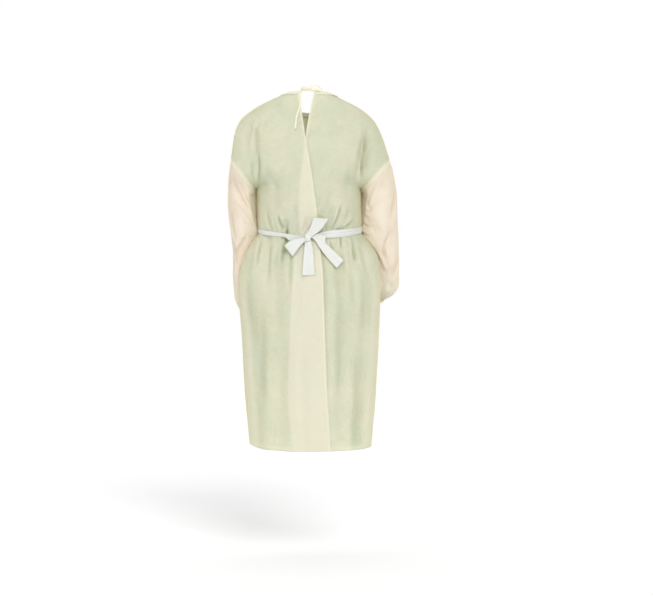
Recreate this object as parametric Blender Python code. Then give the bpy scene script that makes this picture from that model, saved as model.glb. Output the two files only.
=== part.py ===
"""An isolation gown of thin nonwoven cloth, worn and tied behind, as separate cut pieces.

Frame: the gown's back faces -Y, the wearer's right is +X, up is +Z. The origin is midway between the
two points where the shoulder seams meet the neck. Sizes below are in millimetres; meshes are in metres.

The body is a stack of rows. A row leaves the middle of the back or front and runs round to the side:
to the shoulder seam above, to the armhole between, and to the side seam below. A row is known by its
level, which is 0 at the neck, the height of the side seam below the underarm, and the way along the
shoulder seam and round the armhole between them.
"""
import math

import bpy
import numpy as np

MM = 0.001                      # one millimetre in Blender's metres
NAME = "isolation_gown"

# ---- cloth ----------------------------------------------------------------------------------------
WALL = 1.2                      # a panel's wall
TAPE_WALL = 1.2                 # a tie's wall
SEAM_GAP = 0.3                  # between two pieces at a seam
LAP_GAP = 2.0                   # between the two back panels where they overlap
LAP_PAST = 15.0                 # how far past the over panel's edge the under panel stays in
LAP_RAMP = 45.0                 # length over which it then comes back out to the surface
LAP_START = (-95.0, -150.0)     # heights between which the two panels come to lie on each other
MITRE_LIMIT = 1.6               # most that a seam's wall grows to meet its neighbour
SAME_POINT = 0.01               # points of two pieces closer than this are one point of a seam

# ---- levels ---------------------------------------------------------------------------------------
ARM_TOP_LEVEL = -205.0          # where the armhole begins, at the end of the shoulder seam
UNDERARM_LEVEL = -300.0         # where the armhole ends and the side seam begins
HEM_LEVEL = -1112.0
WAIST_LEVEL = -437.0            # the belt's line
ARM_STEPS = 12                  # rows along half an armhole
SHOULDER_LEVELS = (0, -11, -38, -70, -104, -138, -172, ARM_TOP_LEVEL)
SIDE_LEVELS = (-325, -352, -380, -405, -427, -437, -447, -462, -485, -515, -555, -605, -670, -750,
               -840, -930, -1020, HEM_LEVEL)
BACK_COLUMNS = 13
FRONT_COLUMNS = 24

# The seam from the neck over the shoulder to the armhole, each side.
SHOULDER_COLUMNS = ("level", "left_x", "left_z", "right_x", "right_z")
SHOULDER_ROWS = (
    (0, 84, 3, 78, 0),
    (-31, 125, -13, 112, -16),
    (-76, 182, -44, 166, -45),
    (-112, 221, -77, 202, -77),
    (-137, 237, -109, 221, -109),
    (-160, 244, -141, 234, -141),
    (ARM_TOP_LEVEL, 252, -205, 254, -207),
)
# The side seam from the underarm to the hem: half widths, how far forward the widest line lies, how far
# each seam is lifted, and how long a row keeps the height of its middle.
HEIGHT_HOLD = 0.5
SIDE_COLUMNS = ("level", "left_x", "right_x", "side_y", "left_lift", "right_lift", "height_hold")
SIDE_ROWS = (
    (UNDERARM_LEVEL, 172, 164, 0, 0, 0, HEIGHT_HOLD),
    (-350, 171, 164, 0, 0, 0, HEIGHT_HOLD),
    (-400, 168, 165, -4, 0, 0, HEIGHT_HOLD),
    (WAIST_LEVEL, 164, 164, -8, 0, 0, HEIGHT_HOLD),
    (-460, 178, 180, -14, 0, 0, HEIGHT_HOLD),
    (-485, 193, 199, -20, 0, 0, HEIGHT_HOLD),
    (-512, 206, 214, -25, 0, 0, HEIGHT_HOLD),
    (-565, 222, 221, -30, 0, 0, HEIGHT_HOLD),
    (-620, 225, 224, -30, 0, 0, HEIGHT_HOLD),
    (-760, 217, 220, -18, 0, 0, HEIGHT_HOLD),
    (-940, 208, 210, -4, 0, 0, HEIGHT_HOLD),
    (HEM_LEVEL, 193, 197, 0, 5, -5, 1.0),
)
# The middle of the back and of the front at each level, and how full the front is beside the arms.
MIDDLE_COLUMNS = ("level", "back_y", "back_z", "front_y", "front_z", "front_full")
MIDDLE_ROWS = (
    (0, -65, 8, 85, -45, 0.55),
    (-60, -86, -42, 104, -80, 0.55),
    (-120, -106, -88, 118, -118, 0.55),
    (ARM_TOP_LEVEL, -124, -152, 127, -175, 0.55),
    (-250, -133, -216, 131, -237, 0.55),
    (UNDERARM_LEVEL, -137, -290, 133, -297, 0.55),
    (-350, -136, -352, 132, -350, 0.52),
    (-400, -130, -410, 128, -398, 0.48),
    (WAIST_LEVEL, -122, -458, 122, -432, 0.44),
    (-470, -130, -490, 127, -468, 0.40),
    (-520, -144, -532, 136, -520, 0.34),
    (-580, -152, -586, 144, -578, 0.30),
    (-700, -156, -705, 150, -700, 0.34),
    (-900, -152, -908, 152, -900, 0.48),
    (HEM_LEVEL, -146, -1124, 150, -1115, 0.52),
)
MIDDLE_FULL = 0.62              # how flat a row leaves the middle
BACK_FULL = 0.55                # how flat the back arrives at the side
ARM_REACH = 0.32                # how straight a row runs out to the middle of the armhole

# The free edges of the two back panels: how far to the right of the middle they lie.
BACK_EDGE_COLUMNS = ("z", "over_x", "under_x")
BACK_EDGE_ROWS = (
    (20, -36, 18),
    (0, -34, 13),
    (-45, -27, 4),
    (-130, -14, -11),
    (-200, -2, -19),
    (-291, 12, -30),
    (-366, 22, -33),
    (-456, 30, -42),
    (-595, 44, -52),
    (-750, 48, -61),
    (-930, 55, -66),
    (-1125, 68, -52),
)

# ---- armholes and sleeves -------------------------------------------------------------------------
ARMHOLE_BACK = 88.0             # how far the armhole reaches behind its middle
ARMHOLE_FRONT = 84.0
ARMHOLE_SAG = 5.0               # how far its middle hangs below a straight line
ARMHOLE_BULGE = 2.0             # and how far its middle lies outside that line
SAG_FADE = 60.0                 # length of sleeve over which the sag fades away
# Down a sleeve: its outer and inner lines, its middle, its reach to the back and front, how much higher
# its front is than its middle, and how far its back turns outward, round the hip beside it.
SLEEVE_COLUMNS = ("along", "out_x", "out_z", "in_x", "in_z", "mid_y", "back", "front", "lift", "swing")
SLEEVE_ROWS = {
    "left": (
        (0, 252, -205, 172, -300, 0, ARMHOLE_BACK, ARMHOLE_FRONT, 0, 0),
        (20, 257, -229, 184, -310, 1, 84, 81, 0, 0),
        (60, 262, -276, 184, -337, 3, 77, 75, 0, 0),
        (110, 264, -330, 182, -368, 8, 71, 70, 2, 0),
        (170, 260, -392, 181, -412, 17, 67, 66, 6, 2),
        (230, 253, -452, 180, -462, 34, 63, 64, 12, 6),
        (290, 246, -514, 180, -516, 57, 58, 62, 18, 12),
        (350, 246, -576, 176, -574, 82, 54, 60, 22, 14),
        (400, 246, -628, 168, -622, 101, 50, 56, 22, 12),
        (430, 239, -656, 164, -650, 112, 43, 47, 19, 8),
        (452, 229, -676, 164, -668, 119, 33, 35, 14, 2),
    ),
    "right": (
        (0, 254, -207, 164, -300, 0, ARMHOLE_BACK, ARMHOLE_FRONT, 0, 0),
        (20, 263, -229, 177, -310, 1, 85, 82, 0, 0),
        (60, 273, -276, 178, -337, 3, 79, 76, 0, 0),
        (110, 280, -330, 178, -368, 8, 74, 72, 2, 0),
        (170, 283, -392, 178, -412, 17, 70, 69, 6, 2),
        (230, 284, -452, 180, -462, 34, 66, 67, 12, 6),
        (290, 286, -514, 182, -516, 57, 62, 65, 18, 12),
        (350, 288, -570, 180, -566, 80, 58, 62, 22, 14),
        (385, 287, -598, 178, -589, 93, 55, 58, 22, 12),
        (410, 271, -618, 182, -608, 102, 45, 48, 19, 8),
        (432, 250, -630, 188, -625, 108, 33, 35, 14, 2),
    ),
}
SLEEVE_STATIONS = 15
SLEEVE_CROWDING = 0.35          # how much closer the stations lie at the armhole
SLEEVE_RADIUS = 65.0            # mean radius, which turns an angle into a length
SLEEVE_TOP_FADE = 30.0          # length at the armhole over which folds fade away
SLEEVE_END_FADE = 40.0          # the same at the cuff
SLEEVE_CLEARANCE = 4.0          # from a sleeve to the body beside it
CLEARANCE_SOFTNESS = 2.0        # rounding where a sleeve is kept clear
CLEARANCE_FADE = 20.0           # length at the armhole over which the clearance sets in
CUFF_HEIGHT = 15.0
CUFF_INSET = 1.0                # how far inside the sleeve's end the cuff starts
CUFF_LEAD = 60.0                # length of sleeve that gives the cuff its direction
CUFF_GATHERS = 16
CUFF_WAVE = 1.6                 # half the depth of a gather
CUFF_SAMPLES_PER_GATHER = 4

# ---- folds ----------------------------------------------------------------------------------------
# A trough runs down a straight line from its top to its low end, in the plane seen from behind.
FOLD_COLUMNS = ("top_x", "top_z", "low_x", "low_z", "width", "depth")
BACK_FOLDS = (
    (188, -95, 164, -290, 14, 18),        # beside the right arm, from the shoulder blade down
    (170, -140, 146, -300, 11, 10),
    (-184, -80, -168, -290, 16, 15),      # beside the left arm
    (-208, -100, -200, -215, 10, 5),
    (-78, -385, -76, -530, 10, 12),       # the deep pucker that crosses the belt on the left
    (-128, -415, -150, -580, 14, 8),
    (-112, -450, -102, -800, 26, 13),     # soft folds that fall from the belt
    (-34, -470, -44, -760, 18, 7),
    (76, -355, 60, -455, 11, 9),          # creases above the belt on the right
    (110, -375, 84, -455, 10, 8),
    (96, -440, 104, -680, 15, 10),
    (128, -445, 152, -700, 16, 11),
    (166, -455, 196, -620, 13, 8),
    (-180, -600, -168, -1200, 24, 12),    # broad folds down to the hem
    (-96, -720, -92, -1220, 32, 12),
    (118, -660, 112, -1220, 32, 13),
    (182, -600, 166, -1200, 22, 11),
)
FRONT_FOLDS = (
    (180, -110, 152, -290, 19, 13),
    (-182, -110, -156, -290, 19, 12),
    (-60, -360, -54, -560, 12, 11),
    (-112, -375, -104, -660, 16, 10),
    (-20, -435, -26, -720, 17, 8),
    (48, -360, 52, -580, 13, 11),
    (92, -435, 106, -700, 16, 10),
    (138, -440, 150, -620, 14, 8),
    (-148, -600, -152, -1200, 24, 12),
    (-78, -680, -86, -1220, 30, 13),
    (4, -740, 8, -1220, 34, 10),
    (86, -680, 94, -1220, 30, 12),
    (152, -600, 154, -1200, 24, 11),
)
FOLD_FADE = 0.3                 # share of a fold's length over which each end fades away
SIDE_FADE = 0.2                 # share of a row beside a seam that folds leave alone
# A sleeve's trough: ways round from the outer side over the back, and lengths down the sleeve.
SLEEVE_FOLD_COLUMNS = ("top_turn", "top_along", "low_turn", "low_along", "width", "depth")
SLEEVE_FOLDS = {
    "left": (
        (35, 30, 120, 150, 15, 7),
        (70, 150, 150, 240, 13, 6),
        (20, 230, 90, 330, 16, 6),
        (230, 60, 280, 230, 18, 7),
        (300, 240, 250, 360, 16, 7),
    ),
    "right": (
        (30, 190, 110, 300, 16, 7),
        (150, 40, 110, 140, 13, 6),
        (140, 130, 95, 215, 11, 5),
        (60, 300, 120, 380, 16, 6),
        (250, 60, 290, 240, 18, 7),
        (310, 260, 250, 370, 16, 7),
    ),
}

# ---- belt and ties --------------------------------------------------------------------------------
BELT_GAP = 0.8                  # from the panels to the belt
BELT_WALL = 2.0                 # the bunched tape
BELT_EDGE_WALL = 1.4            # its wall at its two edges
BELT_HALF_BACK = 10.0           # half its height near the knot
BELT_HALF_SIDE = 7.5            # half its height at the sides and round the front
BELT_END = 13.0                 # from the middle of the knot to the belt's ends
BELT_STEP_T = 0.02              # least step from the belt's end to its next section
KNOT_X = -5.0                   # the middle of the waist knot
KNOT_Z = -458.0
KNOT_SIZE = (20.0, 15.0, 25.0)
KNOT_OUT = 10.5                 # from the panel to the middle of the knot
KNOT_SEGMENTS, KNOT_RINGS = 12, 7
KNOT_SQUARENESS = 0.35          # 0 is a ball and 1 is a block
# A tie's two edges as seen from behind, and how far it stands off the panel.
TAPE_COLUMNS = ("one_x", "one_z", "two_x", "two_z", "out")
LOOP_UPPER_ROWS = (
    (3, -444, 8, -450, 8),
    (4, -425, 27, -433, 7),
    (9, -408, 41, -417, 7),
    (14, -391.5, 54, -401, 8),
    (14.6, -389.5, 54.6, -399, 10),
    (14, -391.5, 54, -401, 12),
    (9, -408, 40, -417, 13),
    (5, -425, 26, -433, 13),
    (4, -444, 8, -449, 12),
)
LOOP_LEFT_ROWS = (
    (-18, -460, -14, -468, 8),
    (-38, -467, -25, -488, 7),
    (-57, -477, -38, -505, 7),
    (-74, -488, -49, -522, 7),
    (-75.5, -489, -50.5, -523, 9),
    (-74, -488, -49, -522, 11),
    (-57, -477, -38, -505, 12),
    (-38, -468, -25, -487, 12),
    (-18, -461, -14, -468, 12),
)
TAIL_CENTRE_ROWS = (
    (-11, -473, 2, -473, 7),
    (-14, -482, 6, -482, 6),
    (-17, -505, 9, -505, 5),
    (-20, -540, 13, -540, 4),
    (-22, -578, 16, -578, 4),
)
TAIL_RIGHT_ROWS = (
    (8, -462, 4, -470, 7),
    (30, -465, 15, -484, 6),
    (55, -486, 34, -506, 5),
    (80, -508, 58, -530, 5),
    (104, -530, 82, -553, 5),
)
TAPE_GAP = 0.9                  # from a panel to the nearest side of a tie
TAPE_ACROSS = 2                 # strips across a tie
TIE_STEPS = 3                   # sections between two points of a narrow tie

# ---- neck -----------------------------------------------------------------------------------------
BINDING_GAP = 0.5               # from the binding to the panel inside it
BINDING_WALL = 1.0
BINDING_HEIGHT = 11.0
NECK_TAPE = 6.5                 # the binding's width where it runs on as a tie
NECK_KNOT = (-21.0, -70.0, 16.0)
NECK_KNOT_SIZE = (14.0, 9.0, 12.0)
NECK_LOOP_WIDE = (0, 0.5, 1)    # the way across the tie
NECK_STRAND_WIDE = (0, 0, 1)
NECK_LOOP_POINTS = (
    (-12.5, -71.5, 20), (0, -72, 24), (14, -71.5, 26), (27, -70, 24), (35, -69, 18), (36, -70.5, 13.5),
)
NECK_STRAND_POINTS = ((-12.5, -71.5, 14), (-2, -72, 12.5), (8, -71.8, 12), (17, -71.5, 12.5))
NECK_TAIL_POINTS = ((-26, 7), (-29, -10), (-28, -32), (-34, -54), (-41, -82), (-45, -118))
NECK_TAIL_OUT = 3.0

GOWN_COLOUR = (0.74, 0.75, 0.55, 1.0)
SLEEVE_COLOUR = (0.82, 0.78, 0.62, 1.0)
TAPE_COLOUR = (0.83, 0.85, 0.78, 1.0)
NECK_COLOUR = (0.82, 0.82, 0.64, 1.0)
CLOTH_ROUGHNESS = 0.85
TAPE_ROUGHNESS = 0.8
SHARP_ANGLE = math.radians(50)  # edges sharper than this are shaded so


class Table:
    """Named columns against the first one, joined by a smooth curve that doesn't overshoot its rows."""

    def __init__(self, columns, rows):
        data = np.array(sorted(rows), dtype=float)
        self.key = data[:, 0]
        self.columns = {name: data[:, i] for i, name in enumerate(columns)}
        self.slopes = {name: self.slope(column) for name, column in self.columns.items()}

    def slope(self, column):
        """The harmonic mean of the steps on either side of each row, or 0 at a turning point."""
        step = np.diff(column) / np.diff(self.key)
        before, after = step[:-1], step[1:]
        total = before + after
        inside = np.where(before * after > 0, 2 * before * after / np.where(total == 0, 1, total), 0)
        return np.concatenate(([step[0]], inside, [step[-1]]))

    def at(self, name, key):
        key = np.clip(np.asarray(key, dtype=float), self.key[0], self.key[-1])
        low = np.clip(np.searchsorted(self.key, key, side="right") - 1, 0, len(self.key) - 2)
        span = self.key[low + 1] - self.key[low]
        s = (key - self.key[low]) / span
        column, slopes = self.columns[name], self.slopes[name]
        start, end = column[low], column[low + 1]
        return ((1 + 2 * s) * (1 - s) ** 2 * start + s * s * (3 - 2 * s) * end
                + s * (1 - s) ** 2 * span * slopes[low] + s * s * (s - 1) * span * slopes[low + 1])


SHOULDER = Table(SHOULDER_COLUMNS, SHOULDER_ROWS)
SIDE = Table(SIDE_COLUMNS, SIDE_ROWS)
MIDDLE = Table(MIDDLE_COLUMNS, MIDDLE_ROWS)
BACK_EDGE = Table(BACK_EDGE_COLUMNS, BACK_EDGE_ROWS)
SLEEVE_TURNS = np.arange(2 * ARM_STEPS) * math.pi / ARM_STEPS
SLEEVE = {side: Table(SLEEVE_COLUMNS, rows) for side, rows in SLEEVE_ROWS.items()}
T_STEP, LEVEL_STEP, TURN_STEP = 0.01, 1.0, 0.02     # small steps along a surface
HALVINGS = 26                   # of a search along a row
HEIGHT_ROUNDS = 8               # of a search for the row at a height
SIGN = {"left": -1.0, "right": 1.0}
BACK, FRONT = -1.0, 1.0


def ease(s):
    """0 below 0, 1 above 1, and a smooth rise between."""
    s = np.clip(s, 0.0, 1.0)
    return s * s * (3 - 2 * s)


def unit(vectors):
    return vectors / np.maximum(np.linalg.norm(vectors, axis=-1, keepdims=True), 1e-9)


# ---- the body -------------------------------------------------------------------------------------
def armhole(side, turn):
    """A point of the armhole seam: turn is 0 at the shoulder and pi at the underarm, over the back."""
    top = np.array([SLEEVE_ROWS[side][0][1], SLEEVE_ROWS[side][0][2]], dtype=float)
    under = np.array([SLEEVE_ROWS[side][0][3], SLEEVE_ROWS[side][0][4]], dtype=float)
    middle, half = (top + under) / 2, (top - under) / 2
    depth = np.where(np.sin(turn) > 0, ARMHOLE_BACK, ARMHOLE_FRONT)
    droop = np.sin(turn) ** 2
    x = middle[0] + half[0] * np.cos(turn) + ARMHOLE_BULGE * droop
    z = middle[1] + half[1] * np.cos(turn) - ARMHOLE_SAG * droop
    return np.stack([SIGN[side] * x, -depth * np.sin(turn), z], axis=-1)


def row_end(side, face, level):
    """Where a row ends, on the shoulder seam, armhole or side seam, and its turn round the armhole."""
    turn = np.clip((ARM_TOP_LEVEL - level) / (ARM_TOP_LEVEL - UNDERARM_LEVEL), 0, 1) * math.pi
    ring = armhole(side, turn)
    ring[..., 1] *= np.where(face == BACK, 1.0, ARMHOLE_FRONT / ARMHOLE_BACK) * -face
    zero = np.zeros_like(turn)
    shoulder = np.stack([SIGN[side] * SHOULDER.at(side + "_x", level), zero,
                         SHOULDER.at(side + "_z", level)], axis=-1)
    seam = np.stack([SIGN[side] * SIDE.at(side + "_x", level), SIDE.at("side_y", level),
                     level + SIDE.at(side + "_lift", level)], axis=-1)
    above = (level >= ARM_TOP_LEVEL)[..., None]
    below = (level <= UNDERARM_LEVEL)[..., None]
    return np.where(above, shoulder, np.where(below, seam, ring)), turn


def body_on_side(side, face, t, level):
    """A point of the body's outer hull, t of the way from the middle (0) round to the side (1)."""
    end, turn = row_end(side, face, level)
    name = "back" if face == BACK else "front"
    zero = np.zeros_like(level)
    start = np.stack([zero, MIDDLE.at(name + "_y", level), MIDDLE.at(name + "_z", level)], axis=-1)
    full = BACK_FULL + zero if face == BACK else MIDDLE.at("front_full", level)
    reach = end - start
    leave = start.copy()
    leave[..., 0] += MIDDLE_FULL * reach[..., 0]
    arrive = end.copy()
    arrive[..., 0] -= ARM_REACH * np.sin(turn) * reach[..., 0]
    arrive[..., 1] -= full * reach[..., 1]
    arrive[..., 2] -= SIDE.at("height_hold", level) * reach[..., 2]
    t = t[..., None]
    return ((1 - t) ** 3 * start + 3 * (1 - t) ** 2 * t * leave
            + 3 * (1 - t) * t ** 2 * arrive + t ** 3 * end)


def body(face, t, level):
    """A point of the body's outer hull: t runs from -1 on the left seam to 1 on the right seam."""
    t, level = np.broadcast_arrays(np.asarray(t, dtype=float), np.asarray(level, dtype=float))
    left = body_on_side("left", face, np.abs(t), level)
    right = body_on_side("right", face, np.abs(t), level)
    return np.where((t < 0)[..., None], left, right)


def body_normal(face, t, level):
    """The hull's outward direction, from small steps along it."""
    t, level = np.broadcast_arrays(np.asarray(t, dtype=float), np.asarray(level, dtype=float))
    along = body(face, np.minimum(t + T_STEP, 1), level) - body(face, np.maximum(t - T_STEP, -1), level)
    lower, upper = np.maximum(level - LEVEL_STEP, HEM_LEVEL), np.minimum(level + LEVEL_STEP, 0)
    down = body(face, t, lower) - body(face, t, upper)
    return unit(np.cross(along, down) * face)


def solve_t(face, level, x):
    """The t at which a row reaches x, by halving."""
    low, high = np.full_like(level, -1.0), np.full_like(level, 1.0)
    for _ in range(HALVINGS):
        middle = (low + high) / 2
        short = body(face, middle, level)[..., 0] < x
        low = np.where(short, middle, low)
        high = np.where(short, high, middle)
    return (low + high) / 2


def on_body(face, x, z):
    """The t and level of the hull's point that is seen at x and z from straight behind or in front."""
    x, z = np.broadcast_arrays(np.asarray(x, dtype=float), np.asarray(z, dtype=float))
    level = z.astype(float).copy()
    for _ in range(HEIGHT_ROUNDS):
        t = solve_t(face, level, x)
        level = np.clip(level + z - body(face, t, level)[..., 2], HEM_LEVEL, 0)
    return t, level


def fold_depth(rows, x, z):
    """How far the folds sink the surface at x and z."""
    depth = np.zeros_like(x)
    for row in rows:
        fold = dict(zip(FOLD_COLUMNS, row))
        run_x, run_z = fold["low_x"] - fold["top_x"], fold["low_z"] - fold["top_z"]
        length = math.hypot(run_x, run_z)
        along = ((x - fold["top_x"]) * run_x + (z - fold["top_z"]) * run_z) / length ** 2
        off = ((x - fold["top_x"]) * run_z - (z - fold["top_z"]) * run_x) / length
        fade = ease(along / FOLD_FADE) * ease((1 - along) / FOLD_FADE)
        depth += fold["depth"] * fade * np.exp(-(off / fold["width"]) ** 2)
    return depth


def folded_body(face, t, level):
    """The body's outer surface with its folds."""
    hull = body(face, t, level)
    normal = body_normal(face, t, level)
    rows = BACK_FOLDS if face == BACK else FRONT_FOLDS
    depth = fold_depth(rows, hull[..., 0], hull[..., 2])
    depth *= ease((1 - np.abs(t)) / SIDE_FADE)
    return hull - normal * depth[..., None]


def panel_levels():
    arm = np.linspace(ARM_TOP_LEVEL, UNDERARM_LEVEL, ARM_STEPS + 1)
    return np.concatenate((SHOULDER_LEVELS, arm[1:], SIDE_LEVELS)).astype(float)


def back_edge_t(column, levels):
    """The t of a back panel's free edge on each row."""
    z = MIDDLE.at("back_z", levels)
    return solve_t(BACK, levels, BACK_EDGE.at(column, z))


def front_grid():
    levels = panel_levels()[:, None]
    t = np.linspace(-1, 1, FRONT_COLUMNS + 1)[None, :]
    return folded_body(FRONT, *np.broadcast_arrays(t, levels))


def back_grid(side):
    """A back panel's outer points, from its free edge to its side. The right one lies underneath."""
    levels = panel_levels()
    edge = back_edge_t("over_x" if side == "left" else "under_x", levels)
    share = np.linspace(0, 1, BACK_COLUMNS + 1)
    t = edge[:, None] + (SIGN[side] - edge[:, None]) * share[None, :]
    level = np.broadcast_to(levels[:, None], t.shape)
    points = folded_body(BACK, t, level)
    if side == "right":
        over = BACK_EDGE.at("over_x", points[..., 2])
        past = 1 - ease((points[..., 0] - over - LAP_PAST) / LAP_RAMP)
        lap = past * ease((LAP_START[0] - points[..., 2]) / (LAP_START[0] - LAP_START[1]))
        points = points - body_normal(BACK, t, level) * (lap * (WALL + LAP_GAP))[..., None]
    return points


# ---- sleeves --------------------------------------------------------------------------------------
def sleeve_point(side, turn, along):
    """A sleeve's outer point before it meets the body beside it."""
    at = {name: SLEEVE[side].at(name, along) for name in SLEEVE_COLUMNS[1:]}
    round_x, depth = np.cos(turn), np.where(np.sin(turn) > 0, at["back"], at["front"])
    x = (at["out_x"] + at["in_x"]) / 2 + (at["out_x"] - at["in_x"]) / 2 * round_x
    x = x + at["swing"] * np.sin(turn)
    z = (at["out_z"] + at["in_z"]) / 2 + (at["out_z"] - at["in_z"]) / 2 * round_x
    droop = np.sin(turn) ** 2 * ease(1 - along / SAG_FADE)
    x = x + ARMHOLE_BULGE * droop
    y = at["mid_y"] - depth * np.sin(turn)
    z = z - ARMHOLE_SAG * droop - at["lift"] * np.sin(turn)
    return np.stack([SIGN[side] * x, y, z], axis=-1)


def body_side_x(side, y, z):
    """How far out the hull reaches at y and z, or 0 where it isn't."""
    best = np.zeros_like(y)
    for face in (BACK, FRONT):
        level = np.clip(z, HEM_LEVEL, UNDERARM_LEVEL)
        for _ in range(HEIGHT_ROUNDS):
            low, high = np.zeros_like(y), np.ones_like(y)
            for _ in range(HALVINGS):
                middle = (low + high) / 2
                inside = (body(face, SIGN[side] * middle, level)[..., 1] * face) > y * face
                low = np.where(inside, middle, low)
                high = np.where(inside, high, middle)
            point = body(face, SIGN[side] * low, level)
            level = np.clip(level + z - point[..., 2], HEM_LEVEL, UNDERARM_LEVEL)
        middle_y = body(face, np.zeros_like(y), level)[..., 1]
        seam_y = body(face, np.full_like(y, SIGN[side]), level)[..., 1]
        here = ((y - seam_y) * face >= 0) & ((middle_y - y) * face >= 0)
        best = np.where(here, np.abs(point[..., 0]), best)
    return best


def sleeve_fold_depth(side, turn, along):
    depth = np.zeros_like(turn)
    degrees = np.degrees(turn) % 360
    for row in SLEEVE_FOLDS[side]:
        fold = dict(zip(SLEEVE_FOLD_COLUMNS, row))
        run_turn = math.radians(fold["low_turn"] - fold["top_turn"]) * SLEEVE_RADIUS
        run_along = fold["low_along"] - fold["top_along"]
        length = math.hypot(run_turn, run_along)
        dx = np.radians(degrees - fold["top_turn"]) * SLEEVE_RADIUS
        dy = along - fold["top_along"]
        share = (dx * run_turn + dy * run_along) / length ** 2
        off = (dx * run_along - dy * run_turn) / length
        fade = ease(share / FOLD_FADE) * ease((1 - share) / FOLD_FADE)
        depth += fold["depth"] * fade * np.exp(-(off / fold["width"]) ** 2)
    return depth


def sleeve_surface(side, turn, along):
    """A sleeve's outer surface: its folds sunk in, and its inner side kept clear of the body."""
    turn, along = np.broadcast_arrays(turn, along)
    point = sleeve_point(side, turn, along)
    around = sleeve_point(side, turn + TURN_STEP, along) - sleeve_point(side, turn - TURN_STEP, along)
    upper = np.maximum(along - LEVEL_STEP, 0)
    down = sleeve_point(side, turn, along + LEVEL_STEP) - sleeve_point(side, turn, upper)
    normal = unit(np.cross(around, down)) * SIGN[side]
    last = SLEEVE_ROWS[side][-1][0]
    ends = ease(along / SLEEVE_TOP_FADE) * ease((last - along) / SLEEVE_END_FADE)
    point = point - normal * (sleeve_fold_depth(side, turn, along) * ends)[..., None]
    out = point[..., 0] * SIGN[side]
    least = body_side_x(side, point[..., 1], point[..., 2]) + SLEEVE_CLEARANCE
    clear = (out + least + np.sqrt((out - least) ** 2 + 4 * CLEARANCE_SOFTNESS ** 2)) / 2
    clear = np.where(point[..., 2] < UNDERARM_LEVEL, clear, out)
    point[..., 0] = SIGN[side] * (out + (clear - out) * ease(along / CLEARANCE_FADE))
    return point


def sleeve_grid(side):
    last = SLEEVE_ROWS[side][-1][0]
    share = np.linspace(0, 1, SLEEVE_STATIONS + 1)
    along = last * (SLEEVE_CROWDING * share ** 2 + (1 - SLEEVE_CROWDING) * share)
    return sleeve_surface(side, SLEEVE_TURNS[None, :], along[:, None])


# ---- meshes ---------------------------------------------------------------------------------------
def grid_faces(rows, columns, wrap):
    """Two triangles for each cell of a grid, split the same way all over it."""
    faces = []
    for i in range(rows - 1):
        for j in range(columns if wrap else columns - 1):
            k = (j + 1) % columns
            here, low = i * columns, (i + 1) * columns
            faces.append((here + j, here + k, low + k))
            faces.append((here + j, low + k, low + j))
    return faces


def grid_normals(points, wrap):
    """Each point's outward direction, as its faces give it. The rows run down and the columns round."""
    if wrap:
        across = np.roll(points, -1, axis=1) - np.roll(points, 1, axis=1)
    else:
        across = np.gradient(points, axis=1)
    return unit(np.cross(np.gradient(points, axis=0), across))


def share_normals(shells):
    """Gives pieces that meet at a seam one wall direction there, so that their walls meet in a mitre.

    Where two panels and a sleeve meet, the panels count together as one side of the seam.
    """
    meeting = {}
    for shell in shells:
        for point, normal in zip(shell["points"].reshape(-1, 3), shell["normals"].reshape(-1, 3)):
            key = tuple(np.round(point / SAME_POINT).astype(int))
            meeting.setdefault(key, {True: [], False: []})[shell["wrap"]].append(normal)
    shared = {}
    for key, kinds in meeting.items():
        sides = [unit(np.sum(normals, axis=0)) for normals in kinds.values() if normals]
        way = unit(np.sum(sides, axis=0))
        lean = np.mean([np.dot(way, side) for side in sides])
        shared[key] = way / max(lean, 1 / MITRE_LIMIT)
    for shell in shells:
        keys = np.round(shell["points"].reshape(-1, 3) / SAME_POINT).astype(int)
        ways = np.array([shared[tuple(key)] for key in keys])
        shell["wall_way"] = ways.reshape(shell["points"].shape)


def trim(edge, inside, wall_way, closed):
    """Moves an edge half a seam gap into its own piece, square to the seam and to its shared wall."""
    if closed:
        seam = np.roll(edge, -1, axis=0) - np.roll(edge, 1, axis=0)
    else:
        seam = np.gradient(edge, axis=0)
    way = unit(np.cross(wall_way, seam))
    way *= np.sign(np.sum(way * (inside - edge), axis=-1, keepdims=True))
    edge += way * SEAM_GAP / 2


def make_shell(points, wrap):
    return {"points": points, "normals": grid_normals(points, wrap), "wrap": wrap}


def short_split(vertices, corners):
    """Two triangles for a four-sided face, split along its shorter diagonal."""
    a, b, c, d = corners
    if np.linalg.norm(vertices[a] - vertices[c]) < np.linalg.norm(vertices[b] - vertices[d]):
        return [(a, b, c), (a, c, d)]
    return [(a, b, d), (b, c, d)]


def shell_object(name, shell, wall, material, collection):
    """A closed wall between an outer grid and the same grid moved in."""
    outer = shell["points"]
    inner = outer - shell["wall_way"] * wall
    vertices = np.concatenate((outer.reshape(-1, 3), inner.reshape(-1, 3)))
    rows, columns = outer.shape[:2]
    count, low = rows * columns, (rows - 1) * columns
    faces = grid_faces(rows, columns, shell["wrap"])
    faces += [tuple(i + count for i in reversed(face)) for face in faces]
    rim = []
    edge = list(range(columns)) + ([0] if shell["wrap"] else [])
    for a, b in zip(edge, edge[1:]):
        rim.append((b, a, a + count, b + count))
        rim.append((low + a, low + b, low + b + count, low + a + count))
    if not shell["wrap"]:
        for a in range(0, low, columns):
            rim.append((a, a + columns, a + columns + count, a + count))
            a += columns - 1
            rim.append((a + columns, a, a + count, a + columns + count))
    for corners in rim:
        faces += short_split(vertices, corners)
    return mesh_object(name, vertices, faces, material, collection)


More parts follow.
